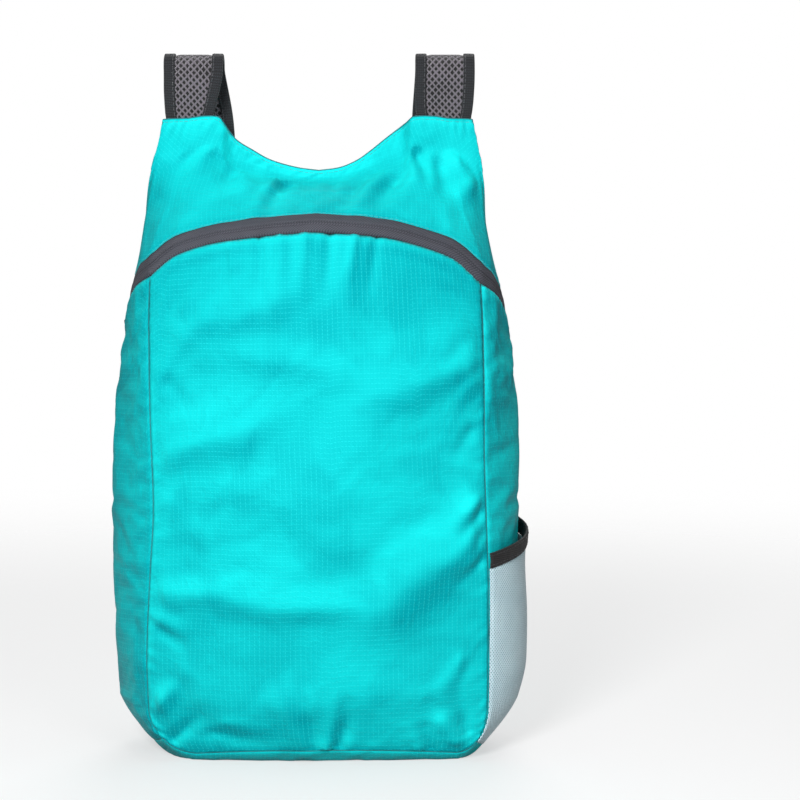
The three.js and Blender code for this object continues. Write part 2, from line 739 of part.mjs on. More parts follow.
function webbingEnd(side) {
  const x = backSeamX(side, webbingEndHeight) - webbingWidth
  const under = backY(side * (x - tabWide / 2), webbingEndHeight)
  return new THREE.Vector3(side * x, under + cloth + 2 * clearance + webbing / 2, webbingEndHeight)
}

function strapPath(side) {
  const x = hornX(side)
  const thick = cloth + 2 * clearance + strapThickness / 2
  const y = backY(x, hornHeight) - thick
  const foldZ = hornHeight + strapRise - foldRadius - strapThickness / 2
  const moved = (row) => x + side * row[sideOf(side)] * halfWidth
  const foldX = moved(strapRoute[0])
  const points = [
    new THREE.Vector3(x, y, hornTop - tongueDepth),
    new THREE.Vector3(x, y, hornTop + foldStep * 2),
    new THREE.Vector3((x + foldX) / 2, y - foldStep, (hornTop + foldZ) / 2 + foldStep),
  ]
  for (const turn of [0, 45, 90, 135, 180]) {
    const angle = THREE.MathUtils.degToRad(turn)
    const out = foldRadius * (1 - Math.cos(angle))
    points.push(new THREE.Vector3(foldX, y + out, foldZ + foldRadius * Math.sin(angle)))
  }
  const low = webbingEnd(side)
  const end = new THREE.Vector3(lerp(x, low.x, strapEndLean), low.y + endBow, strapEndHeight)
  for (const row of strapRoute.slice(1)) {
    const depth = lerp(y + 2 * foldRadius, low.y, row.fall) + row.bow * strapBow
    points.push(new THREE.Vector3(moved(row), depth, lerp(foldZ, strapEndHeight, row.fall)))
  }
  const way = low.clone().sub(end).normalize()
  points.push(end.clone().addScaledVector(way, -loopLap), end)
  const curve = new THREE.CatmullRomCurve3(points, false, 'centripetal')
  const across = framesAlong([end, low])[0].across
  const toBag = new THREE.Vector3().crossVectors(way, across)
  const place = new THREE.Matrix4().makeBasis(across, way.clone().negate(), toBag)
  place.setPosition(end.clone().addScaledVector(way, lockStart))
  return { curve, place, low }
}

function strapWidthAt(along) {
  const share = tableValue(strapTaper, 'along', along, 'width')
  const narrow = along < 0.5 ? tongueWidth : strapEndWidth
  return lerp(narrow, strapWidth, share)
}

function coreSection(along) {
  const width = strapWidthAt(along) - 2 * (bindingWall + clearance)
  return strip(width, -strapCore / 2, strapCore / 2)
}

// A folded binding round one edge of the core, open towards its middle
function bindingSection(along, edge) {
  const outerEdge = strapWidthAt(along) / 2
  const innerEdge = outerEdge - bindingWidth
  const wallEdge = outerEdge - bindingWall
  const outer = strapThickness / 2
  const inner = outer - bindingWall
  const section = [
    [innerEdge, -outer], [outerEdge, -outer], [outerEdge, outer], [innerEdge, outer],
    [innerEdge, inner], [wallEdge, inner], [wallEdge, -inner], [innerEdge, -inner],
  ]
  if (edge > 0) return section
  return section.map(([a, o]) => [-a, o]).reverse()
}

// Points in the plane of the lower webbing: up is along it and out is towards the bag
function placed(place, list) {
  return list.map(([up, out]) => new THREE.Vector3(0, up, out).applyMatrix4(place))
}

function halfTurn(up, radius, way) {
  return Array.from({ length: turnSteps + 1 }, (_, i) => {
    const angle = Math.PI * i / turnSteps
    return [up + way * radius * Math.sin(angle), radius * Math.cos(angle)]
  })
}

const webbingSection = () => strip(webbingWidth, -webbing / 2, webbing / 2)
const middleBar = lockBar + lockSlot
const topBar = middleBar + lockBar + lockTopSlot

function loopGeometry(place) {
  const radius = strapThickness / 2 + clearance + webbing / 2
  const legTop = lockLength + loopLeg
  const middle = (legTop + topBar) / 2
  const turn = halfTurn(topBar, radius, -1)
  const list = [[legTop, radius], [middle, radius], ...turn, [middle, -radius], [legTop, -radius]]
  return sweepGeometry(framesAlong(placed(place, list)), webbingSection)
}

function webbingGeometry(place, low) {
  const radius = lockThickness / 2 + clearance + webbing / 2
  const reach = low.clone().applyMatrix4(place.clone().invert()).y
  const turn = halfTurn(middleBar + lockBar, radius, 1)
  const tail = tailRoute.map(({ along, off }) => [-tailLength * along, -radius - webbingWidth * off])
  const list = [[reach, 0], [reach / 2, radius / 2], [-webbing, radius], [middleBar, radius],
    ...turn, [middleBar, -radius], [-webbing, -radius], ...tail]
  return sweepGeometry(framesAlong(placed(place, list)), webbingSection)
}

function roundedOutline(width, length, radius) {
  const outline = new THREE.Shape()
  const [x, y] = [width / 2, length]
  outline.moveTo(-x + radius, 0).lineTo(x - radius, 0)
  outline.absarc(x - radius, radius, radius, -Math.PI / 2, 0)
  outline.absarc(x - radius, y - radius, radius, 0, Math.PI / 2)
  outline.absarc(-x + radius, y - radius, radius, Math.PI / 2, Math.PI)
  outline.absarc(-x + radius, radius, radius, Math.PI, 1.5 * Math.PI)
  return outline
}

function slot(width, low, high) {
  const hole = new THREE.Path()
  hole.moveTo(-width / 2, low).lineTo(-width / 2, high).lineTo(width / 2, high)
  return hole.lineTo(width / 2, low).closePath()
}

function lockGeometry() {
  const outline = roundedOutline(lockWidth, lockLength, lockBar)
  const slotWidth = webbingWidth + 4 * clearance
  outline.holes.push(slot(slotWidth, lockBar, middleBar))
  outline.holes.push(slot(slotWidth, middleBar + lockBar, topBar))
  const geometry = new THREE.ExtrudeGeometry(outline, {
    depth: lockThickness, bevelEnabled: false, curveSegments: 4,
  })
  return geometry.translate(0, 0, -lockThickness / 2)
}

// The tab under the webbing's end, lying on the back panel
function tabGrid(place, low) {
  const down = new THREE.Vector3().setFromMatrixColumn(place, 1).negate()
  const across = new THREE.Vector3().setFromMatrixColumn(place, 0)
  return gridOf(tabSteps, tabSteps, (i, j) => {
    const share = i / tabSteps
    const point = low.clone().addScaledVector(down, lerp(tabLength, -webbing, share) - tabDrop)
    const width = lerp(tabWide, tabNarrow, share)
    point.addScaledVector(across, lerp(width, -width, j / tabSteps) / 2)
    return point.setY(backY(point.x, point.z) + clearance + cloth)
  })
}

// The side pocket, laid off the right gusset
function pocketTop(w) {
  return pocketHeight + pocketSlant * w
}

function offsetGrid(grid, liftAt) {
  const normalAt = sharedNormals([grid])
  return grid.map((row, i) => row.map((point, j) => (
    point.clone().addScaledVector(normalAt(point), liftAt(i / (grid.length - 1), j / (row.length - 1)))
  )))
}

const swellAcross = (w) => (4 * w * (1 - w)) ** pocketRound

function netGrid() {
  const base = gridOf(pocketRows, sideSteps, (i, j) => {
    const w = j / sideSteps
    if (i < netTurns) return cornerPoint(right, netCorner * (1 - i / netTurns), w)
    const share = (i - netTurns) / (pocketRows - netTurns)
    return bodyPoint(1 + w, lerp(cornerZ, pocketTop(w), share))
  })
  return offsetGrid(base, (v, w) => {
    const puff = lerp(pocketPuff, pocketMouth, rampOver(v, netShape.narrow))
    return clearance + net + puff * rampOver(v, netShape.rise) * swellAcross(w)
  })
}

function elasticGrid() {
  const columns = sideSteps * 2
  const base = gridOf(elasticRows, columns, (i, j) => {
    const w = j / columns
    return bodyPoint(1 + w, pocketTop(w) + clearance + elasticHeight * i / elasticRows)
  })
  return offsetGrid(base, (v, w) => clearance + elastic + pocketMouth * swellAcross(w))
}

const plateLow = coilProud + clearance
const plateTop = plateLow + sliderPlate
const pinZ = plateTop + (bridgeHeight - bridgeWall) / 2

const wasm = await Module()
wasm.setup()

function solidOf(geometry) {
  const bare = geometry.clone()
  bare.deleteAttribute('normal')
  bare.deleteAttribute('uv')
  const merged = mergeVertices(bare, 1e-4)
  return new wasm.Manifold(new wasm.Mesh({
    numProp: 3,
    vertProperties: new Float32Array(merged.attributes.position.array),
    triVerts: new Uint32Array(merged.index.array),
  }))
}

function geometryOf(solid) {
  const mesh = solid.getMesh()
  const geometry = new THREE.BufferGeometry()
  geometry.setAttribute('position', new THREE.BufferAttribute(mesh.vertProperties, 3))
  geometry.setIndex(new THREE.BufferAttribute(mesh.triVerts, 1))
  geometry.computeVertexNormals()
  return geometry
}

function sliderGeometry() {
  const outline = roundedOutline(sliderWidth, sliderLength, sliderRound)
  const plate = new THREE.ExtrudeGeometry(outline, {
    depth: sliderPlate, bevelEnabled: false, curveSegments: 4,
  })
  plate.translate(0, -sliderLength / 2, plateLow).rotateZ(Math.PI / 2)
  const reach = bridgeReach
  const foot = sliderPlate / 2
  const arch = new THREE.Shape()
  arch.moveTo(-reach, -foot).lineTo(-reach + bridgeWall, -foot)
  arch.lineTo(-reach + bridgeWall, bridgeHeight - bridgeWall)
  arch.lineTo(reach - bridgeWall, bridgeHeight - bridgeWall)
  arch.lineTo(reach - bridgeWall, -foot).lineTo(reach, -foot)
  arch.lineTo(reach, bridgeHeight - bridgeWall).lineTo(reach - bridgeWall, bridgeHeight)
  arch.lineTo(-reach + bridgeWall, bridgeHeight).lineTo(-reach, bridgeHeight - bridgeWall)
  arch.closePath()
  const bridge = new THREE.ExtrudeGeometry(arch, { depth: bridgeWidth, bevelEnabled: false })
  bridge.rotateX(Math.PI / 2).translate(0, bridgeWidth / 2, plateTop)
  return geometryOf(solidOf(plate).add(solidOf(bridge)))
}

// The pull hangs from its pin, back along the zip
function pullGeometry() {
  const window = bridgeReach + bridgeHeight / 2
  const outline = roundedOutline(pullWidth, pullLength, pullRound)
  const slotWidth = bridgeWidth + 3 * clearance
  outline.holes.push(slot(slotWidth, pullPin, pullPin + window))
  outline.holes.push(slot(pullRound, pullLength - pullPin - pullEye, pullLength - pullPin))
  const geometry = new THREE.ExtrudeGeometry(outline, {
    depth: pullThickness, bevelEnabled: false, curveSegments: 3,
  })
  return geometry.translate(0, -pullPin / 2, -pullThickness / 2).rotateZ(Math.PI / 2)
}

const bag = new THREE.Group()

function named(name, geometry, color, roughness, metalness = 0) {
  const material = new THREE.MeshStandardMaterial({ color, roughness, metalness })
  const mesh = new THREE.Mesh(geometry, material)
  mesh.name = name
  return mesh
}

const bodyNormals = sharedNormals(Object.values(bodyGrids))
for (const [name, grid] of Object.entries(bodyGrids)) {
  const proud = name === 'zip_coil' ? coilProud : 0
  const geometry = sheetGeometry(grid, bodyNormals, cloth, seamGap, proud)
  const isTape = name.startsWith('zip_')
  bag.add(isTape ? named(name, geometry, tapeGrey, 0.75) : named(name, geometry, turquoise, 0.45))
}

for (const [grid, thickness, name, color] of [
  [netGrid(), net, 'pocket_net', netBlue],
  [elasticGrid(), elastic, 'pocket_elastic', webbingBlack],
]) {
  bag.add(named(name, sheetGeometry(grid, sharedNormals([grid]), thickness, seamGap), color, 0.8))
}

for (const side of [left, right]) {
  const end = sideOf(side)
  const { curve, place, low } = strapPath(side)
  const frames = framesAlong(curve.getPoints(strapSteps))
  bag.add(named(`strap_mesh_${end}`, sweepGeometry(frames, coreSection), meshGrey, 0.85))
  for (const [edge, which] of [[side, 'outer'], [-side, 'inner']]) {
    const geometry = sweepGeometry(frames, (along) => bindingSection(along, edge))
    bag.add(named(`binding_${which}_${end}`, geometry, bindingGrey, 0.8))
  }
  bag.add(named(`strap_loop_${end}`, loopGeometry(place), webbingBlack, 0.8))
  const lock = named(`ladder_lock_${end}`, lockGeometry(), plasticBlack, 0.4)
  lock.applyMatrix4(place)
  bag.add(lock, named(`webbing_${end}`, webbingGeometry(place, low), webbingBlack, 0.8))
  const tab = tabGrid(place, low)
  const tabGeometry = sheetGeometry(tab, sharedNormals([tab]), cloth, 0)
  bag.add(named(`strap_tab_${end}`, tabGeometry, turquoise, 0.5))
}

const zipFrame = new THREE.Group()
zipFrame.applyMatrix4(sliderFrame())
zipFrame.add(named('zip_slider', sliderGeometry(), plasticBlack, 0.4, 0.5))
const pull = named('zip_pull', pullGeometry(), metalGrey, 0.35, 0.8)
pull.position.z = pinZ
zipFrame.add(pull)
bag.add(zipFrame)

export default bag
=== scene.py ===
import math

import bpy
import numpy as np
from mathutils import Matrix, Vector, noise


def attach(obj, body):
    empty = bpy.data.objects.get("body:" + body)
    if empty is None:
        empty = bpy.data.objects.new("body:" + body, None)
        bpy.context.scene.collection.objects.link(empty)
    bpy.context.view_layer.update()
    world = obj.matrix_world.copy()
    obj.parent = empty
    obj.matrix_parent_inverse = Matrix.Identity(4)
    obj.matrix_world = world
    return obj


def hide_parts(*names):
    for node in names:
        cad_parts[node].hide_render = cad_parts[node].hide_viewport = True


# A packable daypack of thin ripstop cloth, stuffed and standing on its base.
# Shapes are worked out in millimetres, and every mesh is made in metres.
# The front faces -Y, +X is at the viewer's right and the floor is z = 0.

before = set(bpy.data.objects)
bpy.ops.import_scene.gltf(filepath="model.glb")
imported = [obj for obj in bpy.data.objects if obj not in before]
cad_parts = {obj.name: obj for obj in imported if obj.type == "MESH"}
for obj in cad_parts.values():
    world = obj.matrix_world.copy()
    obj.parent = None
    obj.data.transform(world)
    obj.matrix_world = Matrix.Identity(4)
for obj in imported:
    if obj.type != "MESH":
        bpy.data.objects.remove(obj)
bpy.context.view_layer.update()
scene = bpy.context.scene
mm = 0.001
left, right = -1, 1

body = {
    "width": 288, "depth": 126, "hornHeight": 441, "neckHeight": 405, "zipHeight": 371,
    "cloth": 1.2, "seamGap": 0.36, "backPuff": 9, "backShare": 0.39,
    "seamHeight": 6, "seamRise": 4, "cornerLeft": 34, "cornerRight": 22,
    "cornerRise": 32, "cornerBack": 46, "cornerTuck": 0.45, "baseDrop": 24,
}
zipBand = {
    "tape": 5.3, "coil": 2.2, "endShare": 0.96,
    "step": 0.1, "frontShare": 0.8, "sideShare": 0.65,  # for its slope, which sets its upright height
}
strap = {
    "width": 42, "tongueWidth": 30, "tongueDepth": 8, "core": 3.4, "binding": 8, "bindingWall": 0.7,
    "rise": 46.5, "fold": 11, "bow": 30, "endHeight": 168, "endWidth": 27, "clearance": 0.3,
    "webbing": 20, "webbingWall": 1.2, "webbingEnd": 42, "tail": 62, "loopLeg": 15, "tab": 30,
    "edgeRound": 0.9, "wobble": 0.7,
}
lock = {"width": 28, "thickness": 3, "bar": 3.4, "slot": 5, "topSlot": 8.5}
pocket = {
    "height": 134.5, "slant": 18, "puff": 8.6, "mouth": 6.6, "net": 1,
    "elasticHeight": 10.5, "elastic": 1.6, "lowCorner": math.radians(50),
}
steps = {"front": 48, "side": 20, "wall": 62, "corner": 8, "yoke": 18, "tape": 2}

halfWidth = body["width"] / 2
backPlane = body["backShare"] * body["depth"]


def table(names, *rows):
    return {name: [row[i] for row in rows] for i, name in enumerate(names.split())}


# Plan at each height: shares of half the width, against shares of the horns' height
plan = table(
    "height left right seamLeft seamRight tuck",
    (0.00, 0.955, 0.930, 0.806, 0.819, 0.090),
    (0.08, 0.968, 0.945, 0.808, 0.821, 0.092),
    (0.17, 0.988, 0.956, 0.813, 0.823, 0.097),
    (0.30, 0.999, 0.958, 0.792, 0.823, 0.097),
    (0.39, 1.009, 0.977, 0.775, 0.813, 0.100),
    (0.49, 0.998, 0.971, 0.782, 0.802, 0.100),
    (0.62, 0.965, 0.953, 0.799, 0.806, 0.095),
    (0.71, 0.928, 0.910, 0.819, 0.813, 0.085),
    (0.78, 0.882, 0.858, 0.825, 0.810, 0.055),
    (0.84, 0.866, 0.832, 0.800, 0.770, 0.035),
    (0.90, 0.843, 0.818, 0.760, 0.740, 0.020),
    (0.97, 0.782, 0.775, 0.710, 0.700, 0.006),
    (1.02, 0.750, 0.742, 0.675, 0.665, 0.002),
)
# Depth of the front cloth: level 0 is the floor, 1 the zip and 2 the top edge
profile = table(
    "level centre seam",
    (0.00, 0.855, 0.750), (0.05, 0.905, 0.770), (0.15, 0.960, 0.795), (0.35, 1.000, 0.812),
    (0.58, 0.980, 0.788), (0.75, 0.915, 0.735), (0.88, 0.840, 0.665), (0.97, 0.760, 0.595),
    (1.00, 0.715, 0.560), (1.12, 0.610, 0.470), (1.50, 0.330, 0.280), (1.80, 0.150, 0.185),
    (2.00, 0.080, 0.165),
)
spine = table(
    "height lean puff",
    (0.00, 0.055, 0.35), (0.12, 0.015, 0.75), (0.35, 0.000, 1.00), (0.62, 0.005, 0.90),
    (0.80, 0.035, 0.45), (0.92, 0.065, 0.10), (1.02, 0.085, 0.00),
)
# The zip's arch: how far it drops, by place across (1 is the front seam, 2 the back seam)
arch = table(
    "across left right",
    (0.00, 0.000, 0.000), (0.25, 0.006, 0.005), (0.45, 0.014, 0.012), (0.62, 0.023, 0.026),
    (0.80, 0.041, 0.047), (0.90, 0.059, 0.069), (1.00, 0.081, 0.094), (1.30, 0.113, 0.130),
    (1.55, 0.147, 0.165), (1.78, 0.205, 0.220), (2.00, 0.290, 0.298),
)
neckline = table(
    "rise left right",
    (0.000, 0.000, 0.000), (0.060, 0.110, 0.105), (0.210, 0.240, 0.192), (0.400, 0.326, 0.258),
    (0.600, 0.405, 0.320), (0.800, 0.445, 0.385), (0.970, 0.480, 0.440), (1.050, 0.510, 0.475),
    (1.060, 0.600, 0.600), (1.020, 0.700, 0.690),
)
# Broad folds: from one place to another in shares of half width and horn height
folds = (
    (-0.62, 0.12, -0.20, 0.30, 0.16, 0.020),
    (0.70, 0.66, 0.05, 0.42, 0.15, 0.024),
    (-0.55, 0.60, -0.05, 0.52, 0.17, -0.022),
    (0.30, 0.30, 0.62, 0.16, 0.14, -0.020),
    (0.20, 0.72, 0.10, 0.60, 0.10, 0.015),
    (-0.15, 0.10, -0.05, 0.03, 0.09, 0.018),
    (0.45, 0.95, 0.62, 0.86, 0.09, 0.030),
    (0.62, 0.97, 0.74, 0.84, 0.08, -0.030),
    (-0.55, 0.95, -0.66, 0.84, 0.10, 0.028),
    (-0.40, 0.90, -0.20, 0.865, 0.08, -0.020),
)
strapRoute = table(
    "fall bow left right",
    (0.00, 0.00, -0.020, 0.005), (0.12, 0.12, -0.058, -0.010), (0.32, 0.55, -0.060, -0.020),
    (0.54, 0.92, -0.040, -0.010), (0.76, 1.00, 0.000, 0.020),
)
strapTaper = table(  # widths from the narrow ends to the full width
    "along left right",
    (0.000, 0, 0), (0.012, 0, 0), (0.020, 0.20, 0.55), (0.040, 0.45, 0.85), (0.080, 0.80, 1.0),
    (0.120, 1, 1), (0.860, 1, 1), (1.000, 0, 0),
)


def smoothValue(rows, key, column, place):
    keys, values = rows[key], rows[column]
    last = len(keys) - 1
    i = 0
    while i < last - 1 and place > keys[i + 1]:
        i += 1
    span = keys[i + 1] - keys[i]
    share = min(max((place - keys[i]) / span, 0), 1)

    def slope(k):
        a, b = max(k - 1, 0), min(k + 1, last)
        return (values[b] - values[a]) / (keys[b] - keys[a]) * span

    s2, s3 = share ** 2, share ** 3
    return (values[i] * (2 * s3 - 3 * s2 + 1) + slope(i) * (s3 - 2 * s2 + share)
            + values[i + 1] * (3 * s2 - 2 * s3) + slope(i + 1) * (s3 - s2))


def ramp(value, low, high):
    share = min(max((value - low) / (high - low), 0), 1)
    return share * share * (3 - 2 * share)


def mix(a, b, share):
    return a + (b - a) * share


def sideName(across):
    return "left" if across < 0 else "right"


def seamName(across):
    return "seamLeft" if across < 0 else "seamRight"


def planAt(z, column):
    return halfWidth * smoothValue(plan, "height", column, z / body["hornHeight"])


def backSeamX(side, z):
    return planAt(z, sideName(side)) - planAt(z, "tuck")


def backSeamY(z):
    return backPlane - body["depth"] * smoothValue(spine, "height", "lean", z / body["hornHeight"])


def backY(x, z):
    share = x / backSeamX(x, z)
    puff = body["backPuff"] * smoothValue(spine, "height", "puff", z / body["hornHeight"])
    return backSeamY(z) + puff * (1 - share * share)


def zipZ(across):
    return body["zipHeight"] * (1 - smoothValue(arch, "across", sideName(across), abs(across)))


def besideZip(across, offset):
    # The tape lies foreshortened where it turns onto the gussets
    a, b = min(across + zipBand["step"], 2), max(across - zipBand["step"], -2)
    width = mix(halfWidth * zipBand["frontShare"], body["depth"] * zipBand["sideShare"],
                ramp(abs(across), 0.7, 1.3))
    slope = (zipZ(a) - zipZ(b)) / ((a - b) * width)
    share = mix(1, zipBand["endShare"], ramp(abs(across), 0.35, 1.0))
    return zipZ(across) + offset * share * math.hypot(1, slope)


def topEdge(side):
    span = body["hornHeight"] - body["neckHeight"]
    heights = [body["neckHeight"] + rise * span for rise in neckline["rise"]]
    places = [halfWidth * share / planAt(z, seamName(side))
              for share, z in zip(neckline[sideName(side)], heights)]
    return {"across": places, "z": heights}


topEdges = {"left": topEdge(left), "right": topEdge(right)}
hornTop = body["hornHeight"] - body["seamGap"]


def topZ(across):
    edge = topEdges[sideName(across)]
    tip, tipZ = edge["across"][-1], edge["z"][-1]
    if abs(across) < tip:
        return smoothValue(edge, "across", "z", abs(across))
    return mix(tipZ, hornTop, (abs(across) - tip) / (2 - tip))


def levelOf(across, z):
    # 0 at the floor, 1 at the zip and 2 at the top edge
    zipHere = zipZ(across)
    return z / zipHere if z < zipHere else 1 + (z - zipHere) / (topZ(across) - zipHere)


def ridge(x, z, fromX, fromZ, toX, toZ, spread, height):
    wayX, wayZ = toX - fromX, toZ - fromZ
    along = ((x - fromX) * wayX + (z - fromZ) * wayZ) / (wayX ** 2 + wayZ ** 2)
    along = min(max(along, 0), 1)
    away = math.hypot(x - fromX - along * wayX, z - fromZ - along * wayZ) / spread
    return height * math.exp(-away * away) if away < 3 else 0


def band(x, z, fromX, fromZ, toX, toZ, width, height):
    # A slack part of the cloth: it slopes out below a line, and turns back at its crest
    wayX, wayZ = toX - fromX, toZ - fromZ
    length = math.hypot(wayX, wayZ)
    along = ((x - fromX) * wayX + (z - fromZ) * wayZ) / length ** 2
    below = ((x - fromX) * wayZ - (z - fromZ) * wayX) / length / width
    if below < -0.2 or not -0.3 < along < 1.3:
        return 0
    ends = ramp(along, -0.3, 0.25) * (1 - ramp(along, 0.75, 1.3))
    rise = math.sqrt(below * below + 0.01) / 2 + below / 2
    if below > 1:
        rise = math.exp(-((below - 1) / 0.55) ** 2)
    return height * ends * rise


def crease(x, z, fromX, fromZ, toX, toZ, spread, height):
    # A fold that starts sharp at a seam, and widens and flattens as it runs into the cloth
    wayX, wayZ = toX - fromX, toZ - fromZ
    along = ((x - fromX) * wayX + (z - fromZ) * wayZ) / (wayX ** 2 + wayZ ** 2)
    if not -0.25 < along < 1:
        return 0
    along = max(along, 0)
    away = math.hypot(x - fromX - along * wayX, z - fromZ - along * wayZ) / (spread * (0.7 + 0.6 * along))
    return height * (1 - along ** 2) ** 1.5 * math.exp(-away * away) if away < 3 else 0


def foldRaise(x, z):
    w, h, d = halfWidth, body["hornHeight"], body["depth"]
    return sum(ridge(x, z, ax * w, az * h, bx * w, bz * h, spread * d, raised * d)
               for ax, az, bx, bz, spread, raised in folds)


def frontY(x, z):
    share = x / planAt(z, seamName(x))
    level = levelOf(share, z)
    centre = smoothValue(profile, "level", "centre", level)
    seam = smoothValue(profile, "level", "seam", level)
    depth = body["depth"] * mix(centre, seam, share * share)
    return backPlane - depth - foldRaise(x, z) * (1 - share ** 4)


def sideBulge(side, z):
    # How far the gusset stands out from the straight line between its seams
    front, back = planAt(z, seamName(side)), backSeamX(side, z)
    reach = planAt(z, sideName(side)) - (front + back) / 2
    lean = (back - front) / 2
    return (reach + math.sqrt(max(reach * reach - lean * lean, 0))) / 2


def bodyPoint(across, z):
    # A point of the stuffed form: front panel to 1 on each side, gusset from 1 to 2
    side = left if across < 0 else right
    share = abs(across)
    seamX = planAt(z, seamName(side))
    if share <= 1:
        return Vector((seamX * across, frontY(seamX * across, z), z))
    w = share - 1
    seamDepth = body["depth"] * smoothValue(profile, "level", "seam", levelOf(across, z))
    x = mix(seamX, backSeamX(side, z), w) + sideBulge(side, z) * 4 * w * (1 - w)
    return Vector((side * x, mix(backPlane - seamDepth, backSeamY(z), w), z))


def softPoint(across, z, soften):
    # The same, with the front seams rounded off
    reach = min(soften, 2 - abs(across))
    point = bodyPoint(across, z) * 2 + bodyPoint(across - reach, z) + bodyPoint(across + reach, z)
    return Vector((point.x / 4, point.y / 4, z))


zipSoft = 0.16  # how much the zip rounds off the front seams
lowEdge = -(zipBand["tape"] + zipBand["coil"] / 2)
coilLow, coilHigh = -zipBand["coil"] / 2, zipBand["coil"] / 2
highEdge = zipBand["tape"] + zipBand["coil"] / 2
strapThickness = strap["core"] + 2 * (strap["bindingWall"] + strap["clearance"])
neckLap = 2 * body["cloth"] + strap["clearance"]
hornLap = 2 * body["cloth"] + 5 * strap["clearance"] + strapThickness


def hornX(side):
    inner = halfWidth * neckline[sideName(side)][-3]
    return side * (inner + backSeamX(side, body["hornHeight"])) / 2


def lapAt(x, across):
    # How far the yoke lies before the back panel, with room for the strap's sewn end
    side = left if across < 0 else right
    inner = abs(hornX(side)) - strap["tongueWidth"] / 2
    lap = mix(neckLap, hornLap, ramp(abs(x), inner - 16, inner - 7))
    return lap * (1 - ramp(abs(across), 1.83, 2))


def yokePoint(across, v):
    z = mix(besideZip(across, highEdge), topZ(across), v)
    point = softPoint(across, z, mix(zipSoft, 0.4, ramp(v, 0, 0.5)))
    point.y = mix(point.y, backY(point.x, z) - lapAt(point.x, across), ramp(v, 0.45, 0.85))
    return point


def zipLine(across, offset):
    return softPoint(across, besideZip(across, offset), zipSoft)


cornerZ = body["seamHeight"] + body["cornerRise"]


def frontRim(side, angle):
    inset = body["cornerLeft" if side == left else "cornerRight"] * (1 - math.cos(angle))
    return side * (planAt(cornerZ, seamName(side)) - inset), cornerZ - body["cornerRise"] * math.sin(angle)


def backRim(side, angle):
    x = side * (backSeamX(side, cornerZ) - body["cornerBack"] * (1 - math.cos(angle)))
    return x, cornerZ - body["cornerRise"] * math.sin(angle)


def wrapPoint(frontPlace, backPlace, outward, bulge, w):
    front = Vector((frontPlace[0], frontY(*frontPlace), frontPlace[1]))
    back = Vector((backPlace[0], backY(*backPlace), backPlace[1]))
    point = front.lerp(back, w) + outward * (bulge * 4 * w * (1 - w))
    point.z = max(point.z, 0)
    return point


def cornerPoint(side, angle, w):
    outward = Vector((side * math.cos(angle), 0, -math.sin(angle)))
    tuck = 1 - body["cornerTuck"] * math.sin(2 * angle)
    bulge = mix(sideBulge(side, cornerZ), body["baseDrop"], ramp(angle, 0, math.pi / 2)) * tuck
    return wrapPoint(frontRim(side, angle), backRim(side, angle), outward, bulge, w)


def gridOf(rows, columns, pointAt):
    return [[pointAt(i, j) for j in range(columns + 1)] for i in range(rows + 1)]


def patch(bottom, top, start, end, faceY):
    # A panel filled in between its four edges, and laid on the face
    rows, columns = len(start) - 1, len(bottom) - 1

    def point(i, j):
        if i in (0, rows):
            return (top if i else bottom)[j].copy()
        if j in (0, columns):
            return (end if j else start)[i].copy()
        u, v = j / columns, i / rows
        corners = bottom[0].lerp(bottom[-1], u) * (1 - v) + top[0].lerp(top[-1], u) * v
        p = bottom[j].lerp(top[j], v) + start[i].lerp(end[i], u) - corners
        return Vector((p.x, faceY(p.x, p.z), p.z))

    return gridOf(rows, columns, point)


def topPoint(x):
    # The top edge at x: its height and its place across depend on each other
    side = left if x < 0 else right
    z = body["neckHeight"]
    for _ in range(12):
        seamX = planAt(z, seamName(side))
        over = (abs(x) - seamX) / (backSeamX(side, z) - seamX)
        z = topZ(x / seamX if over < 0 else side * (1 + over))
    return Vector((x, backY(x, z), z))


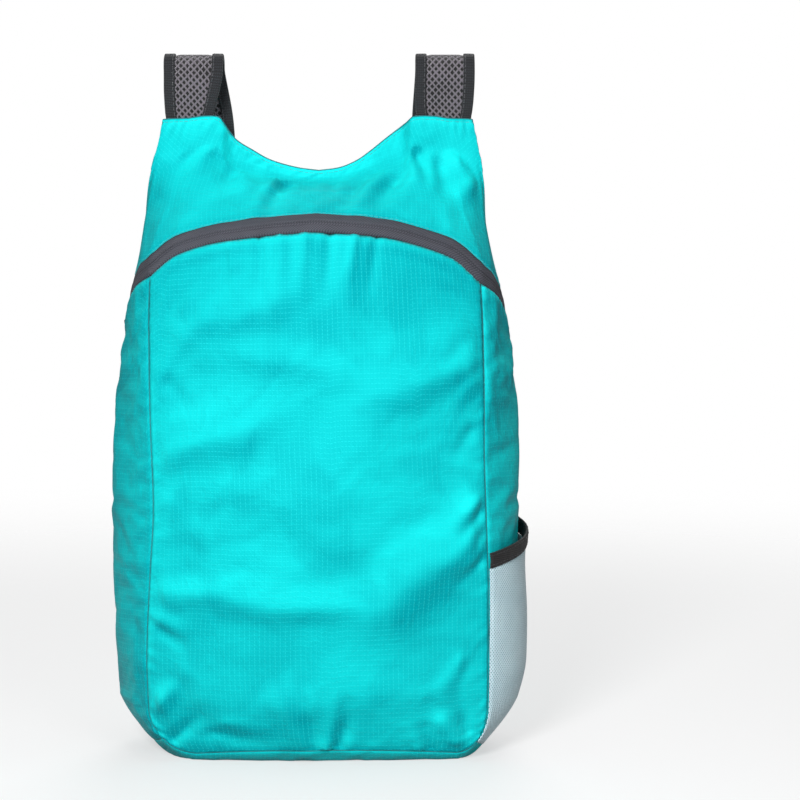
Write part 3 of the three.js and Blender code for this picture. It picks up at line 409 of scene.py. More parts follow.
def shellGrids(fine):
    front, side, wall, corner, yoke, tape = (steps[name] * fine for name in steps)
    wrap = front + 2 * side
    eighth = math.pi / 4

    def wrapAcross(j):
        if j < side:
            return -2 + j / side
        return 1 + (j - side - front) / side if j > side + front else -1 + 2 * (j - side) / front

    def gussetPoint(sign, row, w):
        if row < corner:
            return cornerPoint(sign, eighth * (1 - row / corner), w)
        across, share = sign * (1 + w), (row - corner) / wall
        z = mix(cornerZ, besideZip(across, lowEdge), share)
        return softPoint(across, z, zipSoft * ramp(share, 0.65, 1))

    def basePoint(column, w):
        if column <= corner:
            return cornerPoint(left, eighth * (1 + column / corner), w)
        if front - column <= corner:
            return cornerPoint(right, eighth * (1 + (front - column) / corner), w)
        share = (column - corner) / (front - 2 * corner)
        square = math.pi / 2
        frontX = mix(frontRim(left, square)[0], frontRim(right, square)[0], share)
        backX = mix(backRim(left, square)[0], backRim(right, square)[0], share)
        frontZ = body["seamHeight"] + body["seamRise"] * 4 * share * (1 - share)
        return wrapPoint((frontX, frontZ), (backX, body["seamHeight"]), Vector((0, 0, -1)),
                         body["baseDrop"], w)

    def upperTape(across, v):
        return zipLine(across, coilHigh).lerp(yokePoint(across, 0), v)

    def backEdge(sign):
        edge = [gussetPoint(sign, i, 1) for i in range(corner + wall + 1)]
        edge += [zipLine(2 * sign, mix(lowEdge, coilLow, i / tape)) for i in range(1, tape + 1)]
        edge += [zipLine(2 * sign, mix(coilLow, coilHigh, i / tape)) for i in range(1, tape + 1)]
        edge += [upperTape(2 * sign, i / tape) for i in range(1, tape)]
        return edge + [yokePoint(2 * sign, i / yoke) for i in range(yoke + 1)]

    edges = {sign: backEdge(sign) for sign in (left, right)}
    tips = edges[right][-1], edges[left][-1]
    top = [topPoint(mix(tips[0].x, tips[1].x, j / front)) for j in range(front + 1)]
    top[0], top[-1] = tips
    height = corner + wall
    return {
        "front_panel": patch(
            [basePoint(j, 0) for j in range(front + 1)],
            [zipLine(-1 + 2 * j / front, lowEdge) for j in range(front + 1)],
            [gussetPoint(left, i, 0) for i in range(height + 1)],
            [gussetPoint(right, i, 0) for i in range(height + 1)], frontY),
        "side_gusset_left": gridOf(height, side, lambda i, j: gussetPoint(left, i, 1 - j / side)),
        "side_gusset_right": gridOf(height, side, lambda i, j: gussetPoint(right, i, j / side)),
        "bottom_panel": gridOf(side, front, lambda i, j: basePoint(j, 1 - i / side)),
        "back_panel": patch([basePoint(front - j, 1) for j in range(front + 1)], top,
                            edges[right], edges[left], backY),
        "yoke_panel": gridOf(yoke, wrap, lambda i, j: yokePoint(wrapAcross(j), i / yoke)),
        "zip_tape_lower": gridOf(tape, wrap, lambda i, j: zipLine(
            wrapAcross(j), mix(lowEdge, coilLow, i / tape))),
        "zip_coil": gridOf(tape, wrap, lambda i, j: zipLine(
            wrapAcross(j), mix(coilLow, coilHigh, i / tape))),
        "zip_tape_upper": gridOf(tape, wrap, lambda i, j: upperTape(wrapAcross(j), i / tape)),
    }


def welded(grids):
    # One mesh of all the grids: points that meet become one
    places, points, numbers, quads = {}, [], {}, []
    for name, grid in grids.items():
        rows = []
        for row in grid:
            line = []
            for point in row:
                key = tuple(round(value * 50) for value in point)
                if key not in places:
                    places[key] = len(points)
                    points.append(point)
                line.append(places[key])
            rows.append(line)
        numbers[name] = np.array(rows)
        for i in range(1, len(rows)):
            for j in range(1, len(rows[0])):
                quad = [rows[i - 1][j - 1], rows[i - 1][j], rows[i][j], rows[i][j - 1]]
                quads.append([q for k, q in enumerate(quad) if q not in quad[:k]])
    return np.array([tuple(p) for p in points]), numbers, [q for q in quads if len(q) > 2]


def vertexNormals(points, quads):
    normals = np.zeros_like(points)
    for size in (3, 4):
        faces = np.array([q for q in quads if len(q) == size])
        if not len(faces):
            continue
        across = points[faces[:, 2]] - points[faces[:, 0]]
        other = points[faces[:, -1]] - points[faces[:, 1]]
        face = np.cross(across, other)
        for k in range(size):
            np.add.at(normals, faces[:, k], face)
    return normals / np.maximum(np.linalg.norm(normals, axis=1), 1e-9)[:, None]


settle = {
    "frames": 20, "quality": 6, "pressure": 0.6, "growth": -0.03, "hold": 0.02, "edgeHold": 0.12,
    "mass": 0.05, "bending": 0.02, "stiffness": 12, "cap": 4.5, "broadTurns": 60, "keepSmooth": 0.35,
    "floorGap": 0.05, "front": 0.2, "yoke": 0.35, "gusset": 0.5, "back": 0.7, "bottom": 0.3,
}


def settledShell(grids):
    # Cloth simulation of the whole shell: the seams are held and the cloth between them,
    # a little larger than its place, finds its own wrinkles
    points, numbers, quads = welded(grids)
    hold = np.full(len(points), settle["hold"])
    for name, index in numbers.items():
        if name.startswith("zip_"):
            hold[index.ravel()] = 1
            continue
        for edge in (index[0], index[-1], index[:, 0], index[:, -1]):
            hold[edge] = 1
        for edge in (index[1], index[-2], index[:, 1], index[:, -2]):
            hold[edge] = np.maximum(hold[edge], settle["edgeHold"])
    hold[points[:, 2] < 0.5] = 1
    mesh = bpy.data.meshes.new("settling")
    mesh.from_pydata((points * mm).tolist(), [], quads)
    piece = bpy.data.objects.new("settling", mesh)
    scene.collection.objects.link(piece)
    group = piece.vertex_groups.new(name="held")
    for i, weight in enumerate(hold):
        group.add([i], float(weight), "REPLACE")
    cloth = piece.modifiers.new("cloth", "CLOTH").settings
    cloth.quality = settle["quality"]
    cloth.mass = settle["mass"]
    cloth.tension_stiffness = cloth.compression_stiffness = settle["stiffness"]
    cloth.shear_stiffness = settle["stiffness"] / 3
    cloth.bending_stiffness = settle["bending"]
    cloth.use_pressure = True
    cloth.uniform_pressure_force = settle["pressure"]
    cloth.shrink_min = settle["growth"]
    cloth.vertex_group_mass = "held"
    cloth.pin_stiffness = 1
    cloth.effector_weights.gravity = 0
    for number in range(1, settle["frames"] + 1):
        scene.frame_set(number)
    result = piece.evaluated_get(bpy.context.evaluated_depsgraph_get()).data
    moved = np.array([tuple(v.co) for v in result.vertices]) / mm - points
    bpy.data.objects.remove(piece)
    scene.frame_set(1)
    normals = vertexNormals(points, quads)
    raised = (moved * normals).sum(axis=1)
    print("settled, mm:", np.round(np.percentile(raised, [1, 25, 50, 75, 99]), 2).tolist())
    return {name: raised[index] for name, index in numbers.items()}


def settleShare(name, p):
    # How much of the settled wrinkles each place takes
    if name == "yoke_panel":
        side = 1 - ramp(abs(p.x), 88, 108)
        below = topZ(p.x / planAt(p.z, seamName(p.x))) - p.z
        return settle["yoke"] * side * ramp(below, 4, 26)
    if name.startswith("side_gusset"):
        return settle["gusset"] * ramp(p.z, 8, 40)
    if name == "back_panel":
        return settle["back"] * (1 - ramp(p.z, 330, 400))
    return settle["bottom" if name == "bottom_panel" else "front"]


def blurred(field, turns):
    for _ in range(turns):
        padded = np.pad(field, 1, mode="edge")
        field = (padded[:-2, 1:-1] + padded[2:, 1:-1] + padded[1:-1, :-2] + padded[1:-1, 2:]
                 + 2 * field) / 6
    return field


def finer(field, fine):
    # Smooth values between the settled ones
    for axis in (0, 1):
        count = field.shape[axis]
        place = np.linspace(0, count - 1, (count - 1) * fine + 1)
        low = np.minimum(place.astype(int), count - 2)
        share = place - low
        take = lambda k: np.take(field, np.clip(low + k, 0, count - 1), axis=axis)
        share = share[:, None] if axis == 0 else share[None, :]
        a, b, c, d = take(-1), take(0), take(1), take(2)
        field = b + 0.5 * share * (c - a + share * (2 * a - 5 * b + 4 * c - d
                                                    + share * (3 * (b - c) + d - a)))
    return field


def gridLengths(grid):
    # Distances along the rows from the middle column, and up the columns from the first row
    points = np.array([[tuple(p) for p in row] for row in grid])
    across = np.linalg.norm(np.diff(points, axis=1), axis=2)
    across = np.concatenate([np.zeros((len(grid), 1)), np.cumsum(across, axis=1)], axis=1)
    up = np.linalg.norm(np.diff(points, axis=0), axis=2)
    up = np.concatenate([np.zeros((1, len(grid[0]))), np.cumsum(up, axis=0)], axis=0)
    return across, up


def clothMap(grid):
    across, up = gridLengths(grid)
    middle = across[:, len(grid[0]) // 2][:, None]
    start = np.array([p.z for p in grid[0]])
    return across - middle, up + (start - start[len(start) // 2])[None, :]


def wave(x, y, z, size):
    return noise.noise(Vector((x, y, z)) / size)


# Slack bands and creases of the cloth: from x, z to x, z, then half width and height
creases = {
    "bands": (
        (24, 128, 128, 222, 28, 4.6), (-122, 142, 30, 128, 20, 3.0), (-92, 322, -22, 346, 22, 2.8),
        (-116, 240, -40, 268, 30, 3.2), (14, 282, 118, 312, 32, 3.0), (-50, 306, 20, 290, 20, 1.8),
        (-90, 66, 60, 72, 22, 1.6), (-60, 214, 30, 176, 22, 1.6),
    ),
    "front_panel": (
        (-107, 46, -86, 6, 5, 1.4), (-98, 60, -66, 14, 7, -1.2), (-4, 52, 6, 8, 5, 1.2),
        (20, 46, 12, 8, 5, -1.1), (88, 30, 108, 6, 6, 1.6), (78, 44, 100, 14, 5, -1.2),
        (-60, 355, -52, 306, 4, 1.4), (-38, 360, -34, 300, 4, -1.6), (-22, 362, -20, 310, 3.5, 1.6),
        (-6, 364, -8, 296, 4, 1.5), (8, 364, 8, 312, 3.5, -1.8), (24, 362, 20, 300, 4, 1.7),
        (42, 360, 34, 308, 4, -1.4), (-96, 300, -60, 268, 7, 0.9), (104, 290, 70, 262, 7, -0.9),
        (-100, 180, -70, 150, 8, 0.8), (100, 150, 74, 120, 8, 0.9),
        (113, 174, 92, 154, 3.5, -2.2), (112, 182, 86, 163, 5, 2.0), (112, 150, 96, 132, 4, 1.8),
        (110, 140, 92, 124, 3.5, -1.8), (-104, 92, -84, 78, 5, -1.8), (-104, 100, -80, 88, 6, 1.6),
        (-60, 30, -20, 22, 6, 1.2), (-70, 22, -24, 13, 5, -1.2), (96, 72, 76, 40, 6, 1.8),
        (8, 10, 12, 50, 4, 2.2), (16, 10, 22, 44, 4, -2.2), (-2, 10, -6, 38, 4, -1.8),
        (70, 8, 60, 32, 4, 2.0), (80, 8, 74, 34, 4, -2.0), (96, 14, 78, 46, 5, 2.2),
        (104, 22, 90, 62, 5, -2.2), (-98, 16, -72, 40, 5, -2.0), (-106, 40, -88, 76, 6, 2.0),
        (-100, 262, -74, 236, 5, -1.6), (108, 230, 88, 204, 5, -1.6), (110, 262, 90, 240, 5, 1.6),
    ),
    "yoke_panel": (
        (77, 428, 104, 405, 3.5, 2.2), (66, 420, 80, 396, 5, -2.6), (60, 416, 74, 388, 4, 2.0),
        (84, 410, 101, 370, 6, -2.4), (96, 416, 112, 378, 5, 1.8), (54, 401, 33, 376, 7, -2.4),
        (44, 400, 22, 372, 6, 2.2), (30, 396, 14, 376, 4, -1.4), (-16, 400, -40, 376, 6, -2.4),
        (-26, 402, -50, 366, 5, 2.2), (-8, 404, -6, 388, 3, -1.4), (0, 404, 3, 386, 3, 1.2),
        (9, 404, 12, 388, 2.6, -1.4), (16, 405, 19, 388, 3, 1.2), (-92, 430, -104, 392, 6, -1.8),
        (-78, 424, -92, 396, 5, 1.6), (-70, 416, -58, 384, 7, -1.6), (-58, 408, -44, 384, 5, 1.2),
        (106, 396, 86, 372, 6, 1.4), (-112, 386, -84, 372, 6, -1.0), (70, 430, 74, 416, 3, -1.4),
        (88, 432, 90, 418, 3, -1.4), (-84, 432, -86, 420, 3, -1.2), (-66, 430, -66, 418, 3, 1.2),
    ),
}
pucker = {"height": 0.7, "size": 8, "reach": 9, "valley": 0.9, "valleyReach": 1.2, "shiftSize": 24}
crumple = {"height": 0.2, "size": 26, "fineSize": 11, "fineShare": 0.6}
swell = {"height": 0.6, "size": 52, "turn": 16, "turnSize": 60}
creaseShare = {"front_panel": 1.0, "yoke_panel": 1.35}
puckered = {  # which edges of a panel carry seam puckers
    "front_panel": "bottom left right top", "side_gusset_left": "left right bottom top",
    "side_gusset_right": "left right bottom top", "bottom_panel": "bottom top left right",
    "back_panel": "bottom left right top", "yoke_panel": "bottom top left right",
}


def fineDetail(name, grid):
    # Seam puckers, creases and crumple of one panel, as heights along its normals
    rows, columns = len(grid), len(grid[0])
    across, up = gridLengths(grid)
    field = np.zeros((rows, columns))
    edges = puckered[name].split()
    marks = creases.get(name, ())
    for i in range(rows):
        for j in range(columns):
            p = grid[i][j]
            height = 0
            ends = {"left": (across[i][j], up[i][j]), "right": (across[i][-1] - across[i][j], up[i][j]),
                    "bottom": (up[i][j], across[i][j]), "top": (up[-1][j] - up[i][j], across[i][j])}
            for edge in edges:
                away, along = ends[edge]
                if away < pucker["reach"] * 3:
                    shift = 3 * wave(p.x, p.y, p.z, pucker["shiftSize"])
                    fade = math.exp(-(away / pucker["reach"]) ** 2) * min(away / 2, 1)
                    strength = 0.35 + 0.9 * abs(wave(p.x + 70, p.y, p.z, 45))
                    height += pucker["height"] * fade * strength * math.sin(
                        2 * math.pi * along / pucker["size"] + shift * 2)
                    height -= pucker["valley"] * math.exp(-away / pucker["valleyReach"])
            if marks and p.y < 30:
                bend = 5 * wave(p.x, 0, p.z, 40)
                for mark in marks:
                    height += creaseShare[name] * crease(p.x + bend, p.z, *mark)
            if name == "front_panel":
                calmness = ramp(min(ends[edge][0] for edge in edges), 2, 16)
                drift = 12 * wave(p.x, 50, p.z, 55)
                height += calmness * sum(band(p.x, p.z + drift, *row) for row in creases["bands"])
            calm = min(*(place[0] for place in ends.values()), 20) / 20
            crumpled = 1 - abs(wave(p.x, p.y + 300, p.z, crumple["size"])) * 2.4
            crumpled += crumple["fineShare"] * wave(p.x, p.y, p.z + 500, crumple["fineSize"])
            turn = swell["turn"] * wave(p.x + 900, p.y, p.z, swell["turnSize"])
            swollen = 1 - abs(wave(p.x + turn, p.y, p.z * 1.2 + turn, swell["size"])) * 3
            broad = crumple["height"] * crumpled + swell["height"] * swollen
            field[i][j] = height + broad * calm * settleShare(name, p)
    if name == "bottom_panel":  # it lies on the floor
        field *= 0.3
    return field


def makeMesh(name, points, faces, uvs=None):
    mesh = bpy.data.meshes.new(name)
    mesh.from_pydata([tuple(c * mm for c in p) for p in points], [], faces)
    if uvs is not None:
        layer = mesh.uv_layers.new(name="cloth")
        loops = np.empty(len(mesh.loops), dtype=np.int32)
        mesh.loops.foreach_get("vertex_index", loops)
        layer.data.foreach_set("uv", (np.array(uvs)[loops] * mm).astype(np.float32).ravel())
    mesh.polygons.foreach_set("use_smooth", [True] * len(mesh.polygons))
    mesh.update()
    piece = bpy.data.objects.new(name, mesh)
    scene.collection.objects.link(piece)
    return piece


def finish(piece, material, body="bag", node=None):
    piece.data.materials.clear()
    piece.data.materials.append(material)
    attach(piece, body)
    if node:
        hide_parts(*node.split())
    return piece


# Painted light and shade on the cloth's colour: how much slopes up and across lighten it, its limits,
# painted shade at the yoke's sides, the front's top and near the floor, and each panel's painted base tone
paintedLight = {
    "up": 1.4, "across": 0.8, "least": 0.03, "most": 0.95,
    "yokeSidesShade": 0.30, "frontTopShade": 0.20, "nearFloorShade": 0.07,
    "front_panel": 0.43, "yoke_panel": 0.67, "side_gusset_left": 0.26, "side_gusset_right": 0.26,
    "bottom_panel": 0.35, "back_panel": 0.45,
}


def paintedLightTone(name, grid, heights):
    # Painted light and shade: the satin cloth's colour is made lighter where it slopes up, more than its
    # shape alone would shade it, and each panel gets its own painted tone
    across, up = gridLengths(grid)
    rise = np.gradient(heights, axis=0) / np.maximum(np.gradient(up, axis=0), 0.4)
    lean = np.gradient(heights, axis=1) / np.maximum(np.gradient(across, axis=1), 0.4)
    tone = paintedLight[name] - paintedLight["up"] * rise + paintedLight["across"] * lean
    paintedShade = []
    if name == "yoke_panel":
        paintedShade.append(("yokeSidesShade", lambda p: ramp(abs(p.x), 88, 122)))
    if name == "front_panel":
        paintedShade.append(("frontTopShade", lambda p: ramp(p.z, 200, 340)))
    if name in ("front_panel", "side_gusset_left", "side_gusset_right"):
        paintedShade.append(("nearFloorShade", lambda p: 1 - ramp(p.z, 10, 90)))
    for amount, shareAt in paintedShade:
        tone -= paintedLight[amount] * np.array([[shareAt(p) for p in row] for row in grid])
    return np.clip(blurred(tone, 2), paintedLight["least"], paintedLight["most"])


def addPaintedLight(piece, tone):
    # The cloth's material reads this painted light and shade value at every point
    layer = piece.data.attributes.new("paintedLight", "FLOAT", "POINT")
    layer.data.foreach_set("value", np.ravel(tone).astype(np.float32))
    return piece


def gridPiece(name, grid, uv=None):
    columns = len(grid[0])
    points = [p for row in grid for p in row]
    faces = [(i * columns + j, i * columns + j + 1, (i + 1) * columns + j + 1, (i + 1) * columns + j)
             for i in range(len(grid) - 1) for j in range(columns - 1)]
    u, v = uv if uv is not None else clothMap(grid)
    return makeMesh(name, points, faces, np.stack([np.ravel(u), np.ravel(v)], axis=1))


def thicken(piece, thickness):
    modifier = piece.modifiers.new("thickness", "SOLIDIFY")
    modifier.thickness = thickness * mm
    modifier.offset = -1
    modifier.use_rim = True
    return piece


def sheetFacts(piece, grid):
    across, up = gridLengths(grid)
    width, length = across[:, -1].max(), up[-1].max()
    area = 0
    for i in range(1, len(grid)):
        for j in range(1, len(grid[0])):
            a, b, c, d = grid[i - 1][j - 1], grid[i - 1][j], grid[i][j], grid[i][j - 1]
            area += ((c - a).cross(d - b)).length / 2
    area = min(area, width * length)
    print(f"{piece.name} flat {width:.0f} x {length:.0f} mm, area {area / 100:.0f} cm2")


def edgeLine(grid, edge, inset):
    # Points at a distance inside one edge of a grid
    lines = {
        "left": grid, "right": [row[::-1] for row in grid],
        "bottom": [list(column) for column in zip(*grid)],
        "top": [list(column)[::-1] for column in zip(*grid)],
    }[edge]
    found = []
    for line in lines:
        rest = inset
        for a, b in zip(line, line[1:]):
            step = (b - a).length
            if rest <= step:
                found.append(a.lerp(b, rest / step if step else 0))
                break
            rest -= step
    return found


def evenly(points, gap):
    # The same line with its points a fixed distance apart
    result, rest = [points[0].copy()], gap
    for a, b in zip(points, points[1:]):
        length = (b - a).length
        done = 0
        while length - done >= rest:
            done += rest
            result.append(a.lerp(b, done / length))
            rest = gap
        rest -= length - done
    return result


def outwardAt(points):
    # Directions away from the middle of the bag, for lines that lie on its shell
    flatness = 1.6  # the bag is wider than it's deep
    return [Vector((p.x, p.y * flatness, 0)).normalized() for p in points]


def ringFaces(rings, size):
    # Quads between closed rings of points, and a cap at each end
    faces = []
    for i in range(rings - 1):
        for k in range(size):
            n = (k + 1) % size
            faces.append((i * size + k, i * size + n, (i + 1) * size + n, (i + 1) * size + k))
    return faces + [tuple(range(size))[::-1], tuple((rings - 1) * size + k for k in range(size))]


def tangentAt(points, i):
    return (points[min(i + 1, len(points) - 1)] - points[max(i - 1, 0)]).normalized()


def tube(points, radius, sides=8, outs=None):
    # Vertices and faces of a round bar along points
    verts = []
    for i, p in enumerate(points):
        tangent = tangentAt(points, i)
        out = outs[i] if outs else Vector((0, 0, 1)) if abs(tangent.z) < 0.9 else Vector((0, 1, 0))
        out = (out - tangent * out.dot(tangent)).normalized()
        across = tangent.cross(out)
        for k in range(sides):
            angle = 2 * math.pi * k / sides
            verts.append(p + across * (radius * math.cos(angle)) + out * (radius * math.sin(angle)))
    return verts, ringFaces(len(points), sides)


def joined(parts):
    verts, faces = [], []
    for some, more in parts:
        start = len(verts)
        verts += some
        faces += [tuple(k + start for k in face) for face in more]
    return verts, faces


stitch = {"length": 2.6, "gap": 1.0, "radius": 0.28, "lift": (-0.6, 0.35, 0.55, 0.35, -0.6)}
stitchStep = (stitch["length"] + stitch["gap"]) / 4


def stitchRow(points, outs=None):
    # Thread stitches sunk into the cloth along a line
    line = evenly(points, stitchStep)
    outs = outs or outwardAt(line)
    parts = []
    for i in range(0, len(line) - 4, 4):
        out = outs[min(i, len(outs) - 1)]
        run = [line[i].lerp(line[i + 3], k / 4) + out * (stitch["radius"] * lift)
               for k, lift in enumerate(stitch["lift"])]
        parts.append(tube(run, stitch["radius"], 6, [out] * 5))
    return joined(parts)


def settleAll(fine):
    # The finished shell: its points, their directions outward and each panel's painted light and shade
    heights = settledShell(shellGrids(1))
    grids = shellGrids(fine)
    points, numbers, quads = welded(grids)
    lift = np.zeros(len(points))
    paintedTones = {}
    for name, index in numbers.items():
        if name.startswith("zip_"):
            continue
        field = fineDetail(name, grids[name])
        if heights is not None:
            broad = blurred(heights[name], settle["broadTurns"])
            wrinkles = finer(heights[name] - broad * (1 - settle["keepSmooth"]), fine)
            share = np.array([[settleShare(name, p) for p in row] for row in grids[name]])
            field = field + np.clip(wrinkles, -settle["cap"], settle["cap"]) * share
        lift[index.ravel()] = field.ravel()  # where two panels meet, the later one's height stays
        paintedTones[name] = paintedLightTone(name, grids[name], field)
    normals = vertexNormals(points, quads)
    moved = points + normals * lift[:, None]
    moved[:, 2] = np.maximum(moved[:, 2], settle["floorGap"])

    def gridsOf(values):
        return {name: [[Vector(values[k]) for k in row] for row in index]
                for name, index in numbers.items()}

    return gridsOf(moved), gridsOf(normals), paintedTones


print("working out the shell")
shell, shellNormals, shellPaintedLight = settleAll(2)


def addNode(tree, kind, inputs=None, **settings):
    node = tree.nodes.new("ShaderNode" + kind)
    for name, value in settings.items():
        setattr(node, name, value)
    for name, value in (inputs or {}).items():
        if isinstance(value, bpy.types.NodeSocket):
            tree.links.new(value, node.inputs[name])
        else:
            node.inputs[name].default_value = value
    return node


def calc(tree, operation, *values, clamp=False):
    node = tree.nodes.new("ShaderNodeMath")
    node.operation = operation
    node.use_clamp = clamp
    for socket, value in zip(node.inputs, values):
        if isinstance(value, bpy.types.NodeSocket):
            tree.links.new(value, socket)
        else:
            socket.default_value = value
    return node.outputs[0]


def turns(tree, place, pitch):
    # The angle of a wave that repeats at every pitch
    return calc(tree, "MULTIPLY", calc(tree, "DIVIDE", place, pitch), 2 * math.pi)


def effect(name, inputs, outputs):
    group = bpy.data.node_groups.new(name, "ShaderNodeTree")
    for label, kind, value in inputs:
        socket = group.interface.new_socket(label, in_out="INPUT", socket_type="NodeSocket" + kind)
        if value is not None:
            socket.default_value = value
    for label, kind in outputs:
        group.interface.new_socket(label, in_out="OUTPUT", socket_type="NodeSocket" + kind)
    start = group.nodes.new("NodeGroupInput")
    end = group.nodes.new("NodeGroupOutput")
    return group, start.outputs, end.inputs


def ripstopEffect():
    # Lines of thicker thread in a square grid, over a fine plain weave
    group, given, out = effect("ripstop grid", [("Place", "Vector", None), ("Pitch", "Float", 0.0036),
        ("Line", "Float", 0.16), ("Thread", "Float", 0.0006), ("Dash", "Float", 0.0023)],
        [("Across", "Float"), ("Along", "Float"), ("Height", "Float")])
    place = addNode(group, "SeparateXYZ", {"Vector": given["Place"]})
    lines, threads = [], []
    for this, other in (("X", "Y"), ("Y", "X")):
        share = calc(group, "FRACT", calc(group, "DIVIDE", place.outputs[this], given["Pitch"]))
        away = calc(group, "MULTIPLY", calc(group, "ABSOLUTE", calc(group, "SUBTRACT", share, 0.5)), 2)
        low = calc(group, "SUBTRACT", 1, given["Line"])
        line = calc(group, "DIVIDE", calc(group, "SUBTRACT", away, low), given["Line"], clamp=True)
        turn = turns(group, place.outputs[other], given["Thread"])
        dash = turns(group, place.outputs[other], given["Dash"])
        dots = calc(group, "MULTIPLY_ADD", calc(group, "SINE", dash), 0.6, 0.7, clamp=True)
        lines.append(calc(group, "MULTIPLY", line, dots))
        threads.append(calc(group, "SINE", turn))
    grid = calc(group, "MAXIMUM", *lines)
    weave = calc(group, "MULTIPLY_ADD", calc(group, "MULTIPLY", *threads), 0.2, 0.3)
    group.links.new(lines[0], out["Across"])
    group.links.new(lines[1], out["Along"])
    group.links.new(calc(group, "MULTIPLY_ADD", grid, 0.6, weave), out["Height"])
    return group


def scaledPlace(group, given):
    scaled = addNode(group, "VectorMath", {0: given["Place"]}, operation="SCALE")
    group.links.new(calc(group, "DIVIDE", 1, given["Size"]), scaled.inputs["Scale"])
    return scaled.outputs[0]


def toneEffect():
    # Uneven tone and fine crinkles of cloth that has been packed small
    group, given, out = effect("cloth tone", [("Place", "Vector", None), ("Size", "Float", 0.03)],
        [("Tone", "Float"), ("Crinkle", "Float"), ("Speckle", "Float")])
    place = scaledPlace(group, given)
    broad = addNode(group, "TexNoise", {"Vector": place, "Scale": 1.0, "Detail": 3.0, "Roughness": 0.55})
    sharp = addNode(group, "TexNoise", {"Vector": place, "Scale": 2.6, "Detail": 4.0, "Roughness": 0.6,
                                        "Distortion": 0.4})
    fold = calc(group, "ABSOLUTE", calc(group, "SUBTRACT", sharp.outputs["Fac"], 0.5))
    crinkle = calc(group, "SUBTRACT", 1, calc(group, "MULTIPLY", fold, 5), clamp=True)
    speckle = addNode(group, "TexNoise", {"Vector": place, "Scale": 60.0, "Detail": 2.0})
    group.links.new(broad.outputs["Fac"], out["Tone"])
    group.links.new(crinkle, out["Crinkle"])
    group.links.new(speckle.outputs["Fac"], out["Speckle"])
    return group


def sheenPatchEffect():
    # Painted sheen: soft-edged lighter and darker patches, standing in for limp cloth that lies at another
    # slant to the light
    group, given, out = effect("painted sheen patches", [("Place", "Vector", None), ("Size", "Float", 0.07)],
        [("SheenPatch", "Float")])
    shape = addNode(group, "TexNoise", {"Vector": scaledPlace(group, given), "Scale": 1.0, "Detail": 2.0,
                                        "Roughness": 0.45, "Distortion": 1.1})
    edge = addNode(group, "MapRange", {"Value": shape.outputs["Fac"], "From Min": 0.42, "From Max": 0.56},
                   interpolation_type="SMOOTHSTEP")
    group.links.new(edge.outputs["Result"], out["SheenPatch"])
    return group


def ribEffect():
    # Ribs across a woven tape, crossed by finer threads
    group, given, out = effect("tape ribs", [("Place", "Vector", None), ("Rib", "Float", 0.0012),
        ("Thread", "Float", 0.0006)], [("Ribs", "Float"), ("Height", "Float")])
    place = addNode(group, "SeparateXYZ", {"Vector": given["Place"]})
    turn = turns(group, place.outputs["Y"], given["Rib"])
    cross = turns(group, place.outputs["X"], given["Thread"])
    shifted = calc(group, "ADD", turn, calc(group, "MULTIPLY", calc(group, "SINE", cross), 0.9))
    ribs = calc(group, "MULTIPLY_ADD", calc(group, "SINE", shifted), 0.5, 0.5)
    height = calc(group, "MULTIPLY_ADD", calc(group, "SINE", cross), 0.2, calc(group, "MULTIPLY", ribs, 0.8))
    group.links.new(ribs, out["Ribs"])
    group.links.new(height, out["Height"])
    return group


effects = {"ripstop": ripstopEffect(), "tone": toneEffect(), "sheenPatches": sheenPatchEffect(), "ribs": ribEffect()}


def newMaterial(name, roughness=0.5, sheen=0.0, sheenRoughness=0.4, sheenTint=None, metallic=0.0,
                specular=0.5):
    material = bpy.data.materials.new(name)
    material.use_nodes = True
    shader = material.node_tree.nodes["Principled BSDF"]
    shader.inputs["Roughness"].default_value = roughness
    shader.inputs["Sheen Weight"].default_value = sheen
    shader.inputs["Sheen Roughness"].default_value = sheenRoughness
    if sheenTint:
        shader.inputs["Sheen Tint"].default_value = (*sheenTint, 1)
    shader.inputs["Metallic"].default_value = metallic
    shader.inputs["Specular IOR Level"].default_value = specular
    return material, material.node_tree, shader


def placeGroup(tree, name, **inputs):
    node = tree.nodes.new("ShaderNodeGroup")
    node.node_tree = effects[name]
    for label, value in inputs.items():
        if isinstance(value, bpy.types.NodeSocket):
            tree.links.new(value, node.inputs[label])
        else:
            node.inputs[label].default_value = value
    return node.outputs


def colourMix(tree, share, first, second):
    node = tree.nodes.new("ShaderNodeMix")
    node.data_type = "RGBA"
    for socket, value in ((node.inputs[0], share), (node.inputs[6], first), (node.inputs[7], second)):
        if isinstance(value, bpy.types.NodeSocket):
            tree.links.new(value, socket)
        elif isinstance(value, tuple):
            socket.default_value = (*value, 1)
        else:
            socket.default_value = value
    return node.outputs[2]


def bump(tree, shader, height):
    node = addNode(tree, "Bump", {"Height": height, "Distance": 1.0, "Strength": 1.0})
    tree.links.new(node.outputs["Normal"], shader.inputs["Normal"])


def roughen(tree, shader, tone, span, least):
    rough = calc(tree, "MULTIPLY_ADD", tone["Speckle"], span, least)
    tree.links.new(rough, shader.inputs["Roughness"])


def clothPlace(tree):
    return addNode(tree, "UVMap", uv_map="cloth").outputs["UV"]


def solidPlace(tree):
    return addNode(tree, "TexCoord").outputs["Object"]


# The cloth lit (light) and in painted shade (dark), mixed by painted light and shade, painted sheen and
# random tone; line is a painted highlight on the ripstop's thicker threads; shine tints the gloss
clothColours = {
    "light": (0.008, 0.77, 0.77), "dark": (0.0004, 0.34, 0.39), "line": (0.03, 0.80, 0.80),
    "shine": (0.05, 0.95, 0.95),
}


